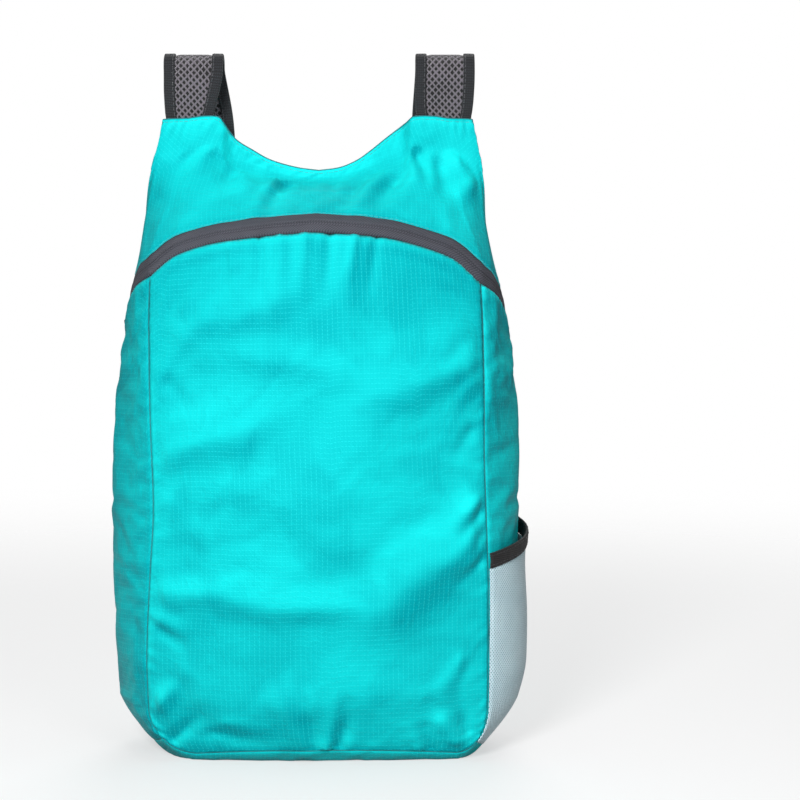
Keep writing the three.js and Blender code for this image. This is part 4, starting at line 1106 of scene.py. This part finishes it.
def turquoiseCloth(name, crinkle=0.0004):
    material, tree, shader = newMaterial(name, 0.42, 0.05, 0.3, clothColours["shine"], specular=0.25)
    shader.inputs["Specular Tint"].default_value = (*clothColours["shine"], 1)
    place = clothPlace(tree)
    solid = solidPlace(tree)
    grid = placeGroup(tree, "ripstop", Place=place, Pitch=0.0035, Line=0.24, Thread=0.0007, Dash=0.0024)
    tone = placeGroup(tree, "tone", Place=solid, Size=0.07)
    sheenPatch = placeGroup(tree, "sheenPatches", Place=solid, Size=0.075)["SheenPatch"]
    # Painted light and shade, worked out from the shell's folds and panels
    paintedLightShare = addNode(tree, "Attribute", attribute_name="paintedLight").outputs["Fac"]
    # The colour share: painted light and shade, random tone and painted sheen patches together
    patchy = calc(tree, "MULTIPLY_ADD", tone["Tone"], 0.30, calc(tree, "MULTIPLY_ADD", sheenPatch, 0.16, -0.23))
    share = calc(tree, "ADD", paintedLightShare, patchy, clamp=True)
    colour = colourMix(tree, share, clothColours["dark"], clothColours["light"])
    # Which way of the ripstop lines shows follows the painted sheen patches
    across = calc(tree, "MULTIPLY", grid["Across"], calc(tree, "MULTIPLY_ADD", sheenPatch, -0.34, 0.50))
    along = calc(tree, "MULTIPLY", grid["Along"], calc(tree, "MULTIPLY_ADD", sheenPatch, 0.30, 0.22))
    lines = calc(tree, "MAXIMUM", across, along)
    # Painted highlight: the ripstop lines are coloured lighter
    colour = colourMix(tree, lines, colour, clothColours["line"])
    tree.links.new(colour, shader.inputs["Base Color"])
    rough = calc(tree, "MULTIPLY_ADD", tone["Speckle"], 0.16, 0.30)
    rough = calc(tree, "SUBTRACT", rough, calc(tree, "MULTIPLY", lines, 0.15))
    tree.links.new(rough, shader.inputs["Roughness"])
    height = calc(tree, "ADD", calc(tree, "MULTIPLY", grid["Height"], 0.00016),
                  calc(tree, "MULTIPLY", tone["Crinkle"], crinkle))
    bump(tree, shader, height)
    return material


def wovenTape(name, dark, light, rib, thread, depth, roughness, sheen):
    material, tree, shader = newMaterial(name, roughness, sheen, 0.5)
    place = clothPlace(tree)
    solid = solidPlace(tree)
    ribs = placeGroup(tree, "ribs", Place=place, Rib=rib, Thread=thread)
    tone = placeGroup(tree, "tone", Place=solid, Size=0.02)
    # The colour follows the ribs' height, dark where it is low: painted shade in the grooves between the
    # ribs
    colour = colourMix(tree, ribs["Height"], dark, light)
    colour = colourMix(tree, calc(tree, "MULTIPLY", tone["Tone"], 0.5), colour,
                       tuple(c * 0.55 for c in dark))
    tree.links.new(colour, shader.inputs["Base Color"])
    roughen(tree, shader, tone, 0.2, roughness - 0.1)
    bump(tree, shader, calc(tree, "MULTIPLY", ribs["Height"], depth))
    return material


def hardFinish(name, colour, roughness=0.38, metallic=0.0, grain=0.00006):
    material, tree, shader = newMaterial(name, roughness, metallic=metallic)
    solid = solidPlace(tree)
    tone = placeGroup(tree, "tone", Place=solid, Size=0.004)
    worn = calc(tree, "MULTIPLY", tone["Crinkle"], 0.25)
    tree.links.new(colourMix(tree, worn, colour, tuple(min(c * 2.2 + 0.02, 1) for c in colour)),
                   shader.inputs["Base Color"])
    roughen(tree, shader, tone, 0.25, roughness - 0.12)
    bump(tree, shader, calc(tree, "MULTIPLY", tone["Speckle"], grain))
    return material


def strapMesh():
    # Open mesh: staggered diamond holes, coloured near black and sunk in, between grey-mauve threads
    material, tree, shader = newMaterial("strapMesh", 0.8, 0.35, 0.5)
    patchy = placeGroup(tree, "tone", Place=solidPlace(tree), Size=0.012)
    size = calc(tree, "MULTIPLY_ADD", patchy["Tone"], 0.20, 0.26)
    hole = diamonds(tree, clothPlace(tree), 0.0046, 0.0048, size, 0.08)
    tone = placeGroup(tree, "tone", Place=solidPlace(tree), Size=0.006)
    thread = colourMix(tree, tone["Speckle"], (0.03, 0.025, 0.036), (0.33, 0.295, 0.35))
    tree.links.new(colourMix(tree, hole, thread, (0.004, 0.004, 0.005)), shader.inputs["Base Color"])
    tree.links.new(calc(tree, "MULTIPLY_ADD", hole, 0.15, 0.72), shader.inputs["Roughness"])
    height = calc(tree, "ADD", calc(tree, "MULTIPLY", hole, -0.0012),
                  calc(tree, "MULTIPLY", tone["Speckle"], 0.0003))
    bump(tree, shader, height)
    return material


def diamonds(tree, place, width, height, size, soft):
    # Staggered diamond holes over a surface
    parts = addNode(tree, "SeparateXYZ", {"Vector": place})
    across = calc(tree, "DIVIDE", parts.outputs["X"], width)
    along = calc(tree, "DIVIDE", parts.outputs["Y"], height)
    masks = []
    for shift in (0, 0.5):
        x, y = (calc(tree, "SUBTRACT", calc(tree, "FRACT", calc(tree, "ADD", way, shift)), 0.5)
                for way in (across, along))
        flat = calc(tree, "MULTIPLY", calc(tree, "ABSOLUTE", y), 0.85)
        away = calc(tree, "ADD", calc(tree, "ABSOLUTE", x), flat)
        masks.append(calc(tree, "DIVIDE", calc(tree, "SUBTRACT", size, away), soft, clamp=True))
    return calc(tree, "MAXIMUM", *masks)


def netYarn():
    # Fine silver-blue net: small dark gaps between slanting yarns, coloured as the teal shell behind them in
    # painted shade
    material, tree, shader = newMaterial("netYarn", 0.55, 0.4, 0.4)
    tone = placeGroup(tree, "tone", Place=solidPlace(tree), Size=0.02)
    gaps = diamonds(tree, clothPlace(tree), 0.0024, 0.0026, 0.27, 0.12)
    yarn = colourMix(tree, tone["Tone"], (0.47, 0.66, 0.74), (0.70, 0.88, 0.95))
    colour = colourMix(tree, calc(tree, "MULTIPLY", gaps, 0.85), yarn, (0.10, 0.30, 0.34))
    tree.links.new(colour, shader.inputs["Base Color"])
    roughen(tree, shader, tone, 0.2, 0.45)
    bump(tree, shader, calc(tree, "MULTIPLY", gaps, -0.0006))
    return material


def plainThread(name, colour):
    material, tree, shader = newMaterial(name, 0.6, 0.3, 0.4)
    tone = placeGroup(tree, "tone", Place=solidPlace(tree), Size=0.008)
    thread = colourMix(tree, tone["Speckle"], tuple(c * 0.7 for c in colour), colour)
    tree.links.new(thread, shader.inputs["Base Color"])
    bump(tree, shader, calc(tree, "MULTIPLY", tone["Speckle"], 0.0001))
    return material


print("making the materials")
shellCloth = turquoiseCloth("turquoiseRipstop")
tapeCloth = wovenTape("zipTape", (0.022, 0.023, 0.034), (0.15, 0.155, 0.195),
                      rib=0.0019, thread=0.0009, depth=0.0003, roughness=0.7, sheen=0.05)
slitShadeYarn = wovenTape("zipCoil", (0.002, 0.002, 0.003), (0.012, 0.012, 0.015),
                     rib=0.0012, thread=0.004, depth=0.0003, roughness=0.6, sheen=0)
bindingTape = wovenTape("strapBinding", (0.004, 0.0045, 0.006), (0.030, 0.034, 0.042),
                        rib=0.0017, thread=0.0015, depth=0.0003, roughness=0.8, sheen=0.15)
webbingCloth = wovenTape("blackWebbing", (0.010, 0.010, 0.012), (0.035, 0.035, 0.04),
                         rib=0.0019, thread=0.0016, depth=0.0003, roughness=0.7, sheen=0.3)
elasticCloth = wovenTape("pocketElastic", (0.003, 0.0025, 0.003), (0.012, 0.009, 0.011),
                         rib=0.0014, thread=0.0011, depth=0.00025, roughness=0.7, sheen=0.1)
blackPlastic = hardFinish("blackPlastic", (0.012, 0.012, 0.014))
blackMetal = hardFinish("paintedMetal", (0.02, 0.02, 0.024),
                        roughness=0.32, metallic=0.6, grain=0.00003)
pullMetal = hardFinish("pullMetal", (0.12, 0.125, 0.13), roughness=0.3, metallic=0.9, grain=0.00003)
meshCloth = strapMesh()
netCloth = netYarn()
tealThread = plainThread("tealThread", (0.02, 0.55, 0.58))
seamShade = plainThread("seamShade", (0.002, 0.20, 0.23))
greyThread = plainThread("greyThread", (0.07, 0.07, 0.08))
blackThread = plainThread("blackThread", (0.02, 0.02, 0.022))

print("making the shell's panels")
walls = {"shell": 0.6, "tape": 0.8, "tab": 1.0, "net": 0.6}
for name in puckered:
    piece = thicken(addPaintedLight(gridPiece("cloth_" + name, shell[name]), shellPaintedLight[name]), walls["shell"])
    finish(piece, shellCloth, node=name)
    sheetFacts(piece, shell[name])

print("making the zip")
for name in ("zip_tape_lower", "zip_tape_upper"):
    grid = shell[name]
    across, up = gridLengths(grid)
    piece = thicken(gridPiece("woven_" + name, grid, (up, across)), walls["tape"])
    finish(piece, tapeCloth, node=name)
    sheetFacts(piece, grid)

coil = {"rows": 12, "height": 0.25, "slit": 0.7, "line": 0.42, "rise": 0.5}


def coilGrid():
    # The two tape edges over the teeth, with a slit where they meet
    base, ups = shell["zip_coil"], shellNormals["zip_coil"]
    grid = []
    for k in range(coil["rows"] + 1):
        share = k / coil["rows"]
        rise = coil["height"] * abs(math.sin(2 * math.pi * share)) ** 0.5
        rise -= coil["slit"] if k == coil["rows"] // 2 else 0
        place = share * (len(base) - 1)
        i = min(int(place), len(base) - 2)
        grid.append([low.lerp(high, place - i) + out * rise
                     for low, high, out in zip(base[i], base[i + 1], ups[i])])
    return grid


grid = coilGrid()
across, up = gridLengths(grid)
finish(gridPiece("coil_cover", grid, (up, across)), tapeCloth, node="zip_coil")
# A near-black cord along the slit where the two tape edges meet: painted shade in the slit
slitLine = zip(grid[coil["rows"] // 2], shellNormals["zip_coil"][1])
verts, faces = tube([p + out * coil["rise"] for p, out in slitLine], coil["line"], 6)
slitShade = makeMesh("coil_slit_shade", verts, faces, [(0, k * 0.1) for k in range(len(verts))])
finish(slitShade, slitShadeYarn)


def copyOfNode(name, node, bevel, segments=2):
    # The node's own shape with its edges rounded
    piece = bpy.data.objects.new(name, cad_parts[node].data.copy())
    scene.collection.objects.link(piece)
    weld = piece.modifiers.new("weld", "WELD")
    weld.merge_threshold = 0.00002
    rounding = piece.modifiers.new("rounding", "BEVEL")
    rounding.width = bevel * mm
    rounding.segments = segments
    rounding.angle_limit = math.radians(35)
    for polygon in piece.data.polygons:
        polygon.use_smooth = True
    return piece


finish(copyOfNode("slider_body", "zip_slider", 0.3), blackMetal, node="zip_slider")
finish(copyOfNode("slider_pull", "zip_pull", 0.2), pullMetal, "pull", "zip_pull")

print("making the straps")


def softCurve(points, count):
    # Centripetal Catmull-Rom curve through the points
    result = []
    for step in range(count + 1):
        place = (len(points) - 1) * step / count
        i = min(int(place), len(points) - 2)
        t = place - i
        a = points[i - 1] if i > 0 else points[0] * 2 - points[1]
        b, c = points[i], points[i + 1]
        d = points[i + 2] if i + 2 < len(points) else points[-1] * 2 - points[-2]
        t0, t1, t2 = (math.sqrt((q - p).length) for p, q in ((a, b), (b, c), (c, d)))
        start = ((b - a) / t0 - (c - a) / (t0 + t1) + (c - b) / t1) * t1
        end = ((c - b) / t1 - (d - b) / (t1 + t2) + (d - c) / t2) * t1
        result.append(b + start * t + (c * 3 - b * 3 - start * 2 - end) * t * t
                      + (b * 2 - c * 2 + start + end) * t ** 3)
    return result


def framesAlong(points):
    lengths = [0]
    for a, b in zip(points, points[1:]):
        lengths.append(lengths[-1] + (b - a).length)
    frames = []
    for i, origin in enumerate(points):
        tangent = tangentAt(points, i)
        across = Vector((1, 0, 0))
        across = (across - tangent * across.dot(tangent)).normalized()
        frames.append({"origin": origin, "across": across, "out": tangent.cross(across),
                       "share": lengths[i] / lengths[-1], "along": lengths[i]})
    return frames


def sweep(frames, sectionAt):
    verts, uvs = [], []
    for f in frames:
        section = sectionAt(f["share"])
        walked = 0
        for k, (a, o) in enumerate(section):
            if k:
                walked += math.dist(section[k - 1], (a, o))
            verts.append(f["origin"] + f["across"] * a + f["out"] * o)
            uvs.append((walked, f["along"]))
    return verts, ringFaces(len(frames), len(sectionAt(0))), uvs


lockLength = 3 * lock["bar"] + lock["slot"] + lock["topSlot"]
lockStart = lockLength + 2 * strap["clearance"]
middleBar = lock["bar"] + lock["slot"]
topBar = middleBar + lock["bar"] + lock["topSlot"]


def webbingLow(side):
    x = backSeamX(side, strap["webbingEnd"]) - strap["webbing"]
    under = backY(side * (x - strap["webbing"] * 0.6), strap["webbingEnd"])
    y = under + body["cloth"] + 2 * strap["clearance"] + strap["webbingWall"] / 2
    return Vector((side * x, y, strap["webbingEnd"]))


def strapPath(side, count=150):
    x = hornX(side)
    y = backY(x, body["hornHeight"]) - (body["cloth"] + 2 * strap["clearance"] + strapThickness / 2)
    foldZ = body["hornHeight"] + strap["rise"] - strap["fold"] - strapThickness / 2
    column = sideName(side)
    foldX = x + side * strapRoute[column][0] * halfWidth
    points = [Vector((x, y, hornTop - strap["tongueDepth"])), Vector((x, y, hornTop + 2)),
              Vector((mix(x, foldX, 0.5), y - 1, mix(hornTop, foldZ, 0.55)))]
    for turn in (0, 45, 90, 135, 180):
        angle = math.radians(turn)
        points.append(Vector((foldX, y + strap["fold"] * (1 - math.cos(angle)),
                              foldZ + strap["fold"] * math.sin(angle))))
    low = webbingLow(side)
    end = Vector((mix(x, low.x, 0.4), low.y + strap["bow"] * 0.75, strap["endHeight"]))
    for k in range(1, 5):
        fall, bow = strapRoute["fall"][k], strapRoute["bow"][k]
        points.append(Vector((x + side * strapRoute[column][k] * halfWidth,
                              mix(y + 2 * strap["fold"], low.y, fall) + bow * strap["bow"],
                              mix(foldZ, strap["endHeight"], fall))))
    way = (low - end).normalized()
    points += [end - way * (strap["loopLeg"] * 1.5), end]
    across = framesAlong([end, low])[0]["across"]
    toBag = way.cross(across)
    place = Matrix((
        (across.x, -way.x, toBag.x, 0), (across.y, -way.y, toBag.y, 0), (across.z, -way.z, toBag.z, 0),
        (0, 0, 0, 1)))
    place.translation = end + way * lockStart
    return softCurve(points, count), place, low


def strapWidthAt(share, side):
    narrow = strap["tongueWidth"] if share < 0.5 else strap["endWidth"]
    return mix(narrow, strap["width"], smoothValue(strapTaper, "along", sideName(side), share))


def coreSection(share, side):
    # A soft pad: full in the middle and thinner under the bindings
    half = strapWidthAt(share, side) / 2 - strap["bindingWall"] - strap["clearance"]
    thick = strap["core"] / 2
    count = 16
    top = []
    for k in range(count + 1):
        across = mix(-half, half, k / count)
        inside = half - abs(across)
        full = thick * (0.80 + 0.38 * ramp(inside, strap["binding"] * 0.8, strap["binding"] * 1.35))
        top.append((across, full * min(1, (inside / 1.2 + 0.5))))
    return [(a, -o) for a, o in top] + top[::-1]


def bindingSection(share, edge, side):
    outerEdge = strapWidthAt(share, side) / 2
    innerEdge = outerEdge - strap["binding"]
    outer, wall = strapThickness / 2, strap["bindingWall"]
    turn = strap["edgeRound"]
    middle, deep = mix(innerEdge, outerEdge, 0.35), outerEdge - wall - outer * 0.5
    face = [(innerEdge, outer - 0.25), (innerEdge + 0.5, outer), (middle, outer + 0.12)]
    rounded = []
    for degrees in range(-90, 91, 30):
        angle = math.radians(degrees)
        rise = math.copysign(abs(math.sin(angle)) ** 0.6, angle)
        rounded.append((outerEdge - turn + turn * math.cos(angle), outer * rise))
    section = [(a, -o) for a, o in face] + rounded + face[::-1]
    section += [(innerEdge, outer - wall), (deep, outer - wall), (outerEdge - wall, 0),
                (deep, wall - outer), (innerEdge, wall - outer)]
    return section if edge > 0 else [(-a, o) for a, o in section][::-1]


webbingEdge = {"drop": 0.25, "inset": 0.15}


def webbingSection(_):
    # The same all along
    half, wall = strap["webbing"] / 2, strap["webbingWall"] / 2
    top = [(mix(-half, half, k / 8), wall) for k in range(9)]
    edge, low = half - webbingEdge["inset"], wall - webbingEdge["drop"]
    top[0], top[-1] = (-edge, low), (edge, low)
    top = [(-half, 0)] + top
    return top + [(half, 0)] + [(a, -o) for a, o in top[:0:-1]]


def halfTurn(up, radius, way, count=14):
    return [(up + way * radius * math.sin(math.pi * i / count), radius * math.cos(math.pi * i / count))
            for i in range(count + 1)]


def placed(place, pairs):
    return [place @ Vector((0, up, out)) for up, out in pairs]


def smoothLine(pairs, count):
    # Evenly stepped points on a soft curve through the given ones
    line = softCurve([Vector((up, out, 0)) for up, out in pairs], count)
    return [(p.x, p.y) for p in line]


tabSteps = 14
for side in (left, right):
    end = sideName(side)
    path, place, low = strapPath(side)
    frames = framesAlong(path)
    for f in frames:
        wobble = strap["wobble"] * wave(0, f["along"], side * 50, 60)
        f["origin"] = f["origin"] + f["across"] * wobble * ramp(f["share"], 0.05, 0.15)
    verts, faces, uvs = sweep(frames, lambda share: coreSection(share, side))
    core = finish(makeMesh("strap_pad_" + end, verts, faces, uvs), meshCloth, node="strap_mesh_" + end)
    threads = []
    for edge, which in ((side, "outer"), (-side, "inner")):
        verts, faces, uvs = sweep(frames, lambda share: bindingSection(share, edge, side))
        piece = makeMesh(f"strap_edge_{which}_{end}", verts, faces, uvs)
        finish(piece, bindingTape, node=f"binding_{which}_{end}")
        for face in (1, -1):
            line, outs = [], []
            for f in frames:
                inset = strapWidthAt(f["share"], side) / 2 - strap["binding"] + 1.3
                rise = face * (strapThickness / 2 + 0.05)
                line.append(f["origin"] + f["across"] * (inset * edge) + f["out"] * rise)
                outs.append(f["out"] * face)
            even = evenly(line, stitchStep)
            ratio = (len(outs) - 1) / max(len(even) - 1, 1)
            threads.append(stitchRow(line, [outs[round(k * ratio)] for k in range(len(even))]))
    verts, faces = joined(threads)
    finish(makeMesh("strap_stitches_" + end, verts, faces), greyThread)

    radius = strapThickness / 2 + strap["clearance"] + strap["webbingWall"] / 2
    legTop = lockLength + strap["loopLeg"]
    half = mix(legTop, topBar, 0.5)
    pairs = ([(legTop, radius), (half, radius)] + halfTurn(topBar, radius, -1)
             + [(half, -radius), (legTop, -radius)])
    verts, faces, uvs = sweep(framesAlong(placed(place, pairs)), webbingSection)
    finish(makeMesh("end_loop_" + end, verts, faces, uvs), webbingCloth, node="strap_loop_" + end)

    radius = lock["thickness"] / 2 + strap["clearance"] + strap["webbingWall"] / 2
    reach = (place.inverted() @ low).y
    tail = strap["tail"]
    coming = smoothLine([(reach, 0), (reach * 0.5, radius * 0.6), (-1, radius), (middleBar, radius)], 60)
    going = smoothLine([(middleBar, -radius), (-1, -radius), (-tail * 0.4, -radius - 2),
                        (-tail * 0.75, -radius - 3), (-tail, -radius - 2)], 40)
    pairs = coming + halfTurn(middleBar + lock["bar"], radius, 1) + going
    verts, faces, uvs = sweep(framesAlong(placed(place, pairs)), webbingSection)
    finish(makeMesh("lower_webbing_" + end, verts, faces, uvs), webbingCloth, node="webbing_" + end)
    finish(copyOfNode("lock_" + end, "ladder_lock_" + end, 0.7, 3), blackPlastic, node="ladder_lock_" + end)

    down = -(place.to_3x3() @ Vector((0, 1, 0)))
    acrossTab = place.to_3x3() @ Vector((1, 0, 0))

    def tabPoint(i, j):
        point = low + down * (mix(strap["tab"], -strap["webbingWall"], i / tabSteps) - strap["webbing"] / 4)
        width = mix(strap["webbing"] * 1.3, strap["webbing"] * 1.05, i / tabSteps)
        point = point + acrossTab * (mix(width, -width, j / tabSteps) / 2)
        return Vector((point.x, backY(point.x, point.z) + strap["clearance"] + body["cloth"], point.z))

    grid = gridOf(tabSteps, tabSteps, tabPoint)
    # The tab's painted light and shade: the same middle value all over
    tone = np.full((tabSteps + 1, tabSteps + 1), 0.5)
    tab = thicken(addPaintedLight(gridPiece("corner_tab_" + end, grid), tone), walls["tab"])
    finish(tab, shellCloth, node="strap_tab_" + end)
    sheetFacts(tab, grid)

print("making the side pocket")


def pocketTop(w):
    return pocket["height"] + pocket["slant"] * w


def lifted(base, liftAt):
    points, numbers, quads = welded({"base": base})
    normals = vertexNormals(points, quads)[numbers["base"]]
    rows, columns = len(base) - 1, len(base[0]) - 1
    return [[p + Vector(normals[i][j]) * liftAt(i / rows, j / columns) for j, p in enumerate(row)]
            for i, row in enumerate(base)]


def netLift(v, w):
    middle = (4 * w * (1 - w)) ** 0.8
    puff = mix(pocket["puff"], pocket["mouth"], ramp(v, 0.6, 1)) * ramp(v, 0, 0.4)
    return strap["clearance"] + pocket["net"] / 2 + puff * middle


netRows, netColumns = 56, 34
netCorner = 0.2  # share of the net that wraps the bottom corner
netBase = []
for i in range(netRows + 1):
    v = i / netRows
    row = []
    for j in range(netColumns + 1):
        w = j / netColumns
        if v < netCorner:
            row.append(cornerPoint(right, pocket["lowCorner"] * (1 - v / netCorner), w))
        else:
            above = (v - netCorner) / (1 - netCorner)
            row.append(bodyPoint(1 + w, mix(cornerZ, pocketTop(w), above)))
    netBase.append(row)
netSurface = lifted(netBase, netLift)
netPiece = thicken(gridPiece("pocket_mesh", netSurface), walls["net"])
finish(netPiece, netCloth, node="pocket_net")
sheetFacts(netPiece, netSurface)

elasticRows, elasticColumns = 8, 48


def elasticBase(i, j):
    w = j / elasticColumns
    return bodyPoint(1 + w, pocketTop(w) + strap["clearance"] + pocket["elasticHeight"] * i / elasticRows)


def elasticLift(v, w):
    roll = 0.35 * math.sin(math.pi * v) + 0.12 * math.sin(w * 90)
    return strap["clearance"] + pocket["elastic"] - 0.3 + pocket["mouth"] * (4 * w * (1 - w)) ** 0.8 + roll


elasticGrid = lifted(gridOf(elasticRows, elasticColumns, elasticBase), elasticLift)
elasticPiece = thicken(gridPiece("elastic_band", elasticGrid), pocket["elastic"] - 0.4)
finish(elasticPiece, elasticCloth, node="pocket_elastic")
sheetFacts(elasticPiece, elasticGrid)

print("sewing the seams")


# A dark cord along seam lines; by default dark teal, as painted shade in the seam's groove
def seamCord(name, lines, radius=0.3, material=seamShade):
    verts, faces = joined([tube(line, radius, 8, outwardAt(line)) for line in lines])
    finish(makeMesh(name, verts, faces, [(p.x, p.z) for p in verts]), material)


frontGrid, yokeGrid, backGrid = shell["front_panel"], shell["yoke_panel"], shell["back_panel"]
lowered = [p + Vector((0, 0.2, 0)) for p in edgeLine(frontGrid, "bottom", 0)]
seamCord("seam_front", [edgeLine(frontGrid, "left", 0), edgeLine(frontGrid, "right", 0), lowered])
seamCord("seam_back", [edgeLine(backGrid, "left", 0), edgeLine(backGrid, "right", 0),
                       edgeLine(backGrid, "bottom", 0)], 0.4)
seamCord("seam_neck", [edgeLine(yokeGrid, "top", 0), edgeLine(backGrid, "top", 0)], 0.4)
seamCord("seam_zip", [edgeLine(yokeGrid, "bottom", 0)], 0.45, blackThread)
rows = [
    stitchRow(edgeLine(frontGrid, "top", 1.6)), stitchRow(edgeLine(yokeGrid, "bottom", 1.6)),
    stitchRow(edgeLine(yokeGrid, "top", 2.4)),
    stitchRow(edgeLine(backGrid, "top", 2.4)),
    stitchRow(edgeLine(shell["side_gusset_left"], "top", 1.6)),
    stitchRow(edgeLine(shell["side_gusset_right"], "top", 1.6)),
]
verts, faces = joined(rows)
finish(makeMesh("cloth_stitches", verts, faces), tealThread)
rows = [stitchRow(edgeLine(elasticGrid, "bottom", 2)), stitchRow(edgeLine(elasticGrid, "top", 2))]
verts, faces = joined(rows)
finish(makeMesh("elastic_stitches", verts, faces), blackThread)

print("setting the stage")
view = {"place": (57.4, -1791.7, 417.8), "target": (57.4, 0, 245.3), "lens": 115.7}
studio = {"floor": 0.38, "floorGlow": 0.55, "fadeFrom": 0.6, "fadeTo": 1.5, "room": 0.11}


def facing(place, target):
    return (Vector(target) - Vector(place)).to_track_quat("-Z", "Y").to_euler()


camera = bpy.data.objects.new("camera", bpy.data.cameras.new("camera"))
camera.data.lens = view["lens"]
camera.data.sensor_width = 36
camera.data.clip_start, camera.data.clip_end = 0.05, 100
camera.location = Vector(view["place"]) * mm
camera.rotation_euler = facing(view["place"], view["target"])
scene.collection.objects.link(camera)
scene.camera = camera

floor = bpy.data.meshes.new("floor")
reach = 40
corners = [(x * reach, y * reach, 0) for x, y in ((-1, -1), (1, -1), (1, 1), (-1, 1))]
floor.from_pydata(corners, [], [(0, 1, 2, 3)])
floorPiece = bpy.data.objects.new("floor", floor)
scene.collection.objects.link(floorPiece)
floorMaterial, tree, shader = newMaterial("paleFloor", 0.9, specular=0.1)
shader.inputs["Base Color"].default_value = (studio["floor"], studio["floor"], studio["floor"], 1)
shader.inputs["Emission Color"].default_value = (1, 1, 1, 1)
seen = addNode(tree, "LightPath").outputs["Is Camera Ray"]  # looks brighter than it lights the bag
tree.links.new(calc(tree, "MULTIPLY", seen, studio["floorGlow"]), shader.inputs["Emission Strength"])
away = addNode(tree, "VectorMath", {0: solidPlace(tree)}, operation="LENGTH")
fade = addNode(tree, "MapRange", {"Value": away.outputs["Value"], "From Min": studio["fadeFrom"],
                                  "From Max": studio["fadeTo"], "To Min": 1.0, "To Max": 0.0},
               interpolation_type="SMOOTHSTEP")
tree.links.new(fade.outputs["Result"], shader.inputs["Alpha"])  # the floor fades into the white room
floor.materials.append(floorMaterial)

lights = (  # name, place, aim, size, power
    ("key", (-0.35, -1.45, 0.85), (0.02, 0, 0.3), 0.5, 23.5),
    ("fill", (0.9, -1.7, 0.7), (0, 0, 0.25), 0.9, 12),
    ("top", (0.1, 0.2, 2.6), (0, 0, 0.2), 1.6, 14),
    ("back", (0.3, 2.4, 1.4), (0, 0, 0.25), 1.6, 40),
)
for name, place, aim, size, power in lights:
    light = bpy.data.objects.new(name, bpy.data.lights.new(name, "AREA"))
    light.data.shape = "DISK"
    light.data.size = size
    light.data.energy = power
    light.location = place
    light.rotation_euler = facing(place, aim)
    light.visible_glossy = name in ("key", "fill")
    scene.collection.objects.link(light)

world = bpy.data.worlds.new("studio")
world.use_nodes = True
room = world.node_tree.nodes["Background"]
room.inputs["Color"].default_value = (1, 1, 1, 1)
seen = addNode(world.node_tree, "LightPath").outputs["Is Camera Ray"]
strength = calc(world.node_tree, "MULTIPLY_ADD", seen, 1 - studio["room"], studio["room"])
world.node_tree.links.new(strength, room.inputs["Strength"])  # white to look at, dim as a light
scene.world = world
scene.view_settings.view_transform = "Standard"
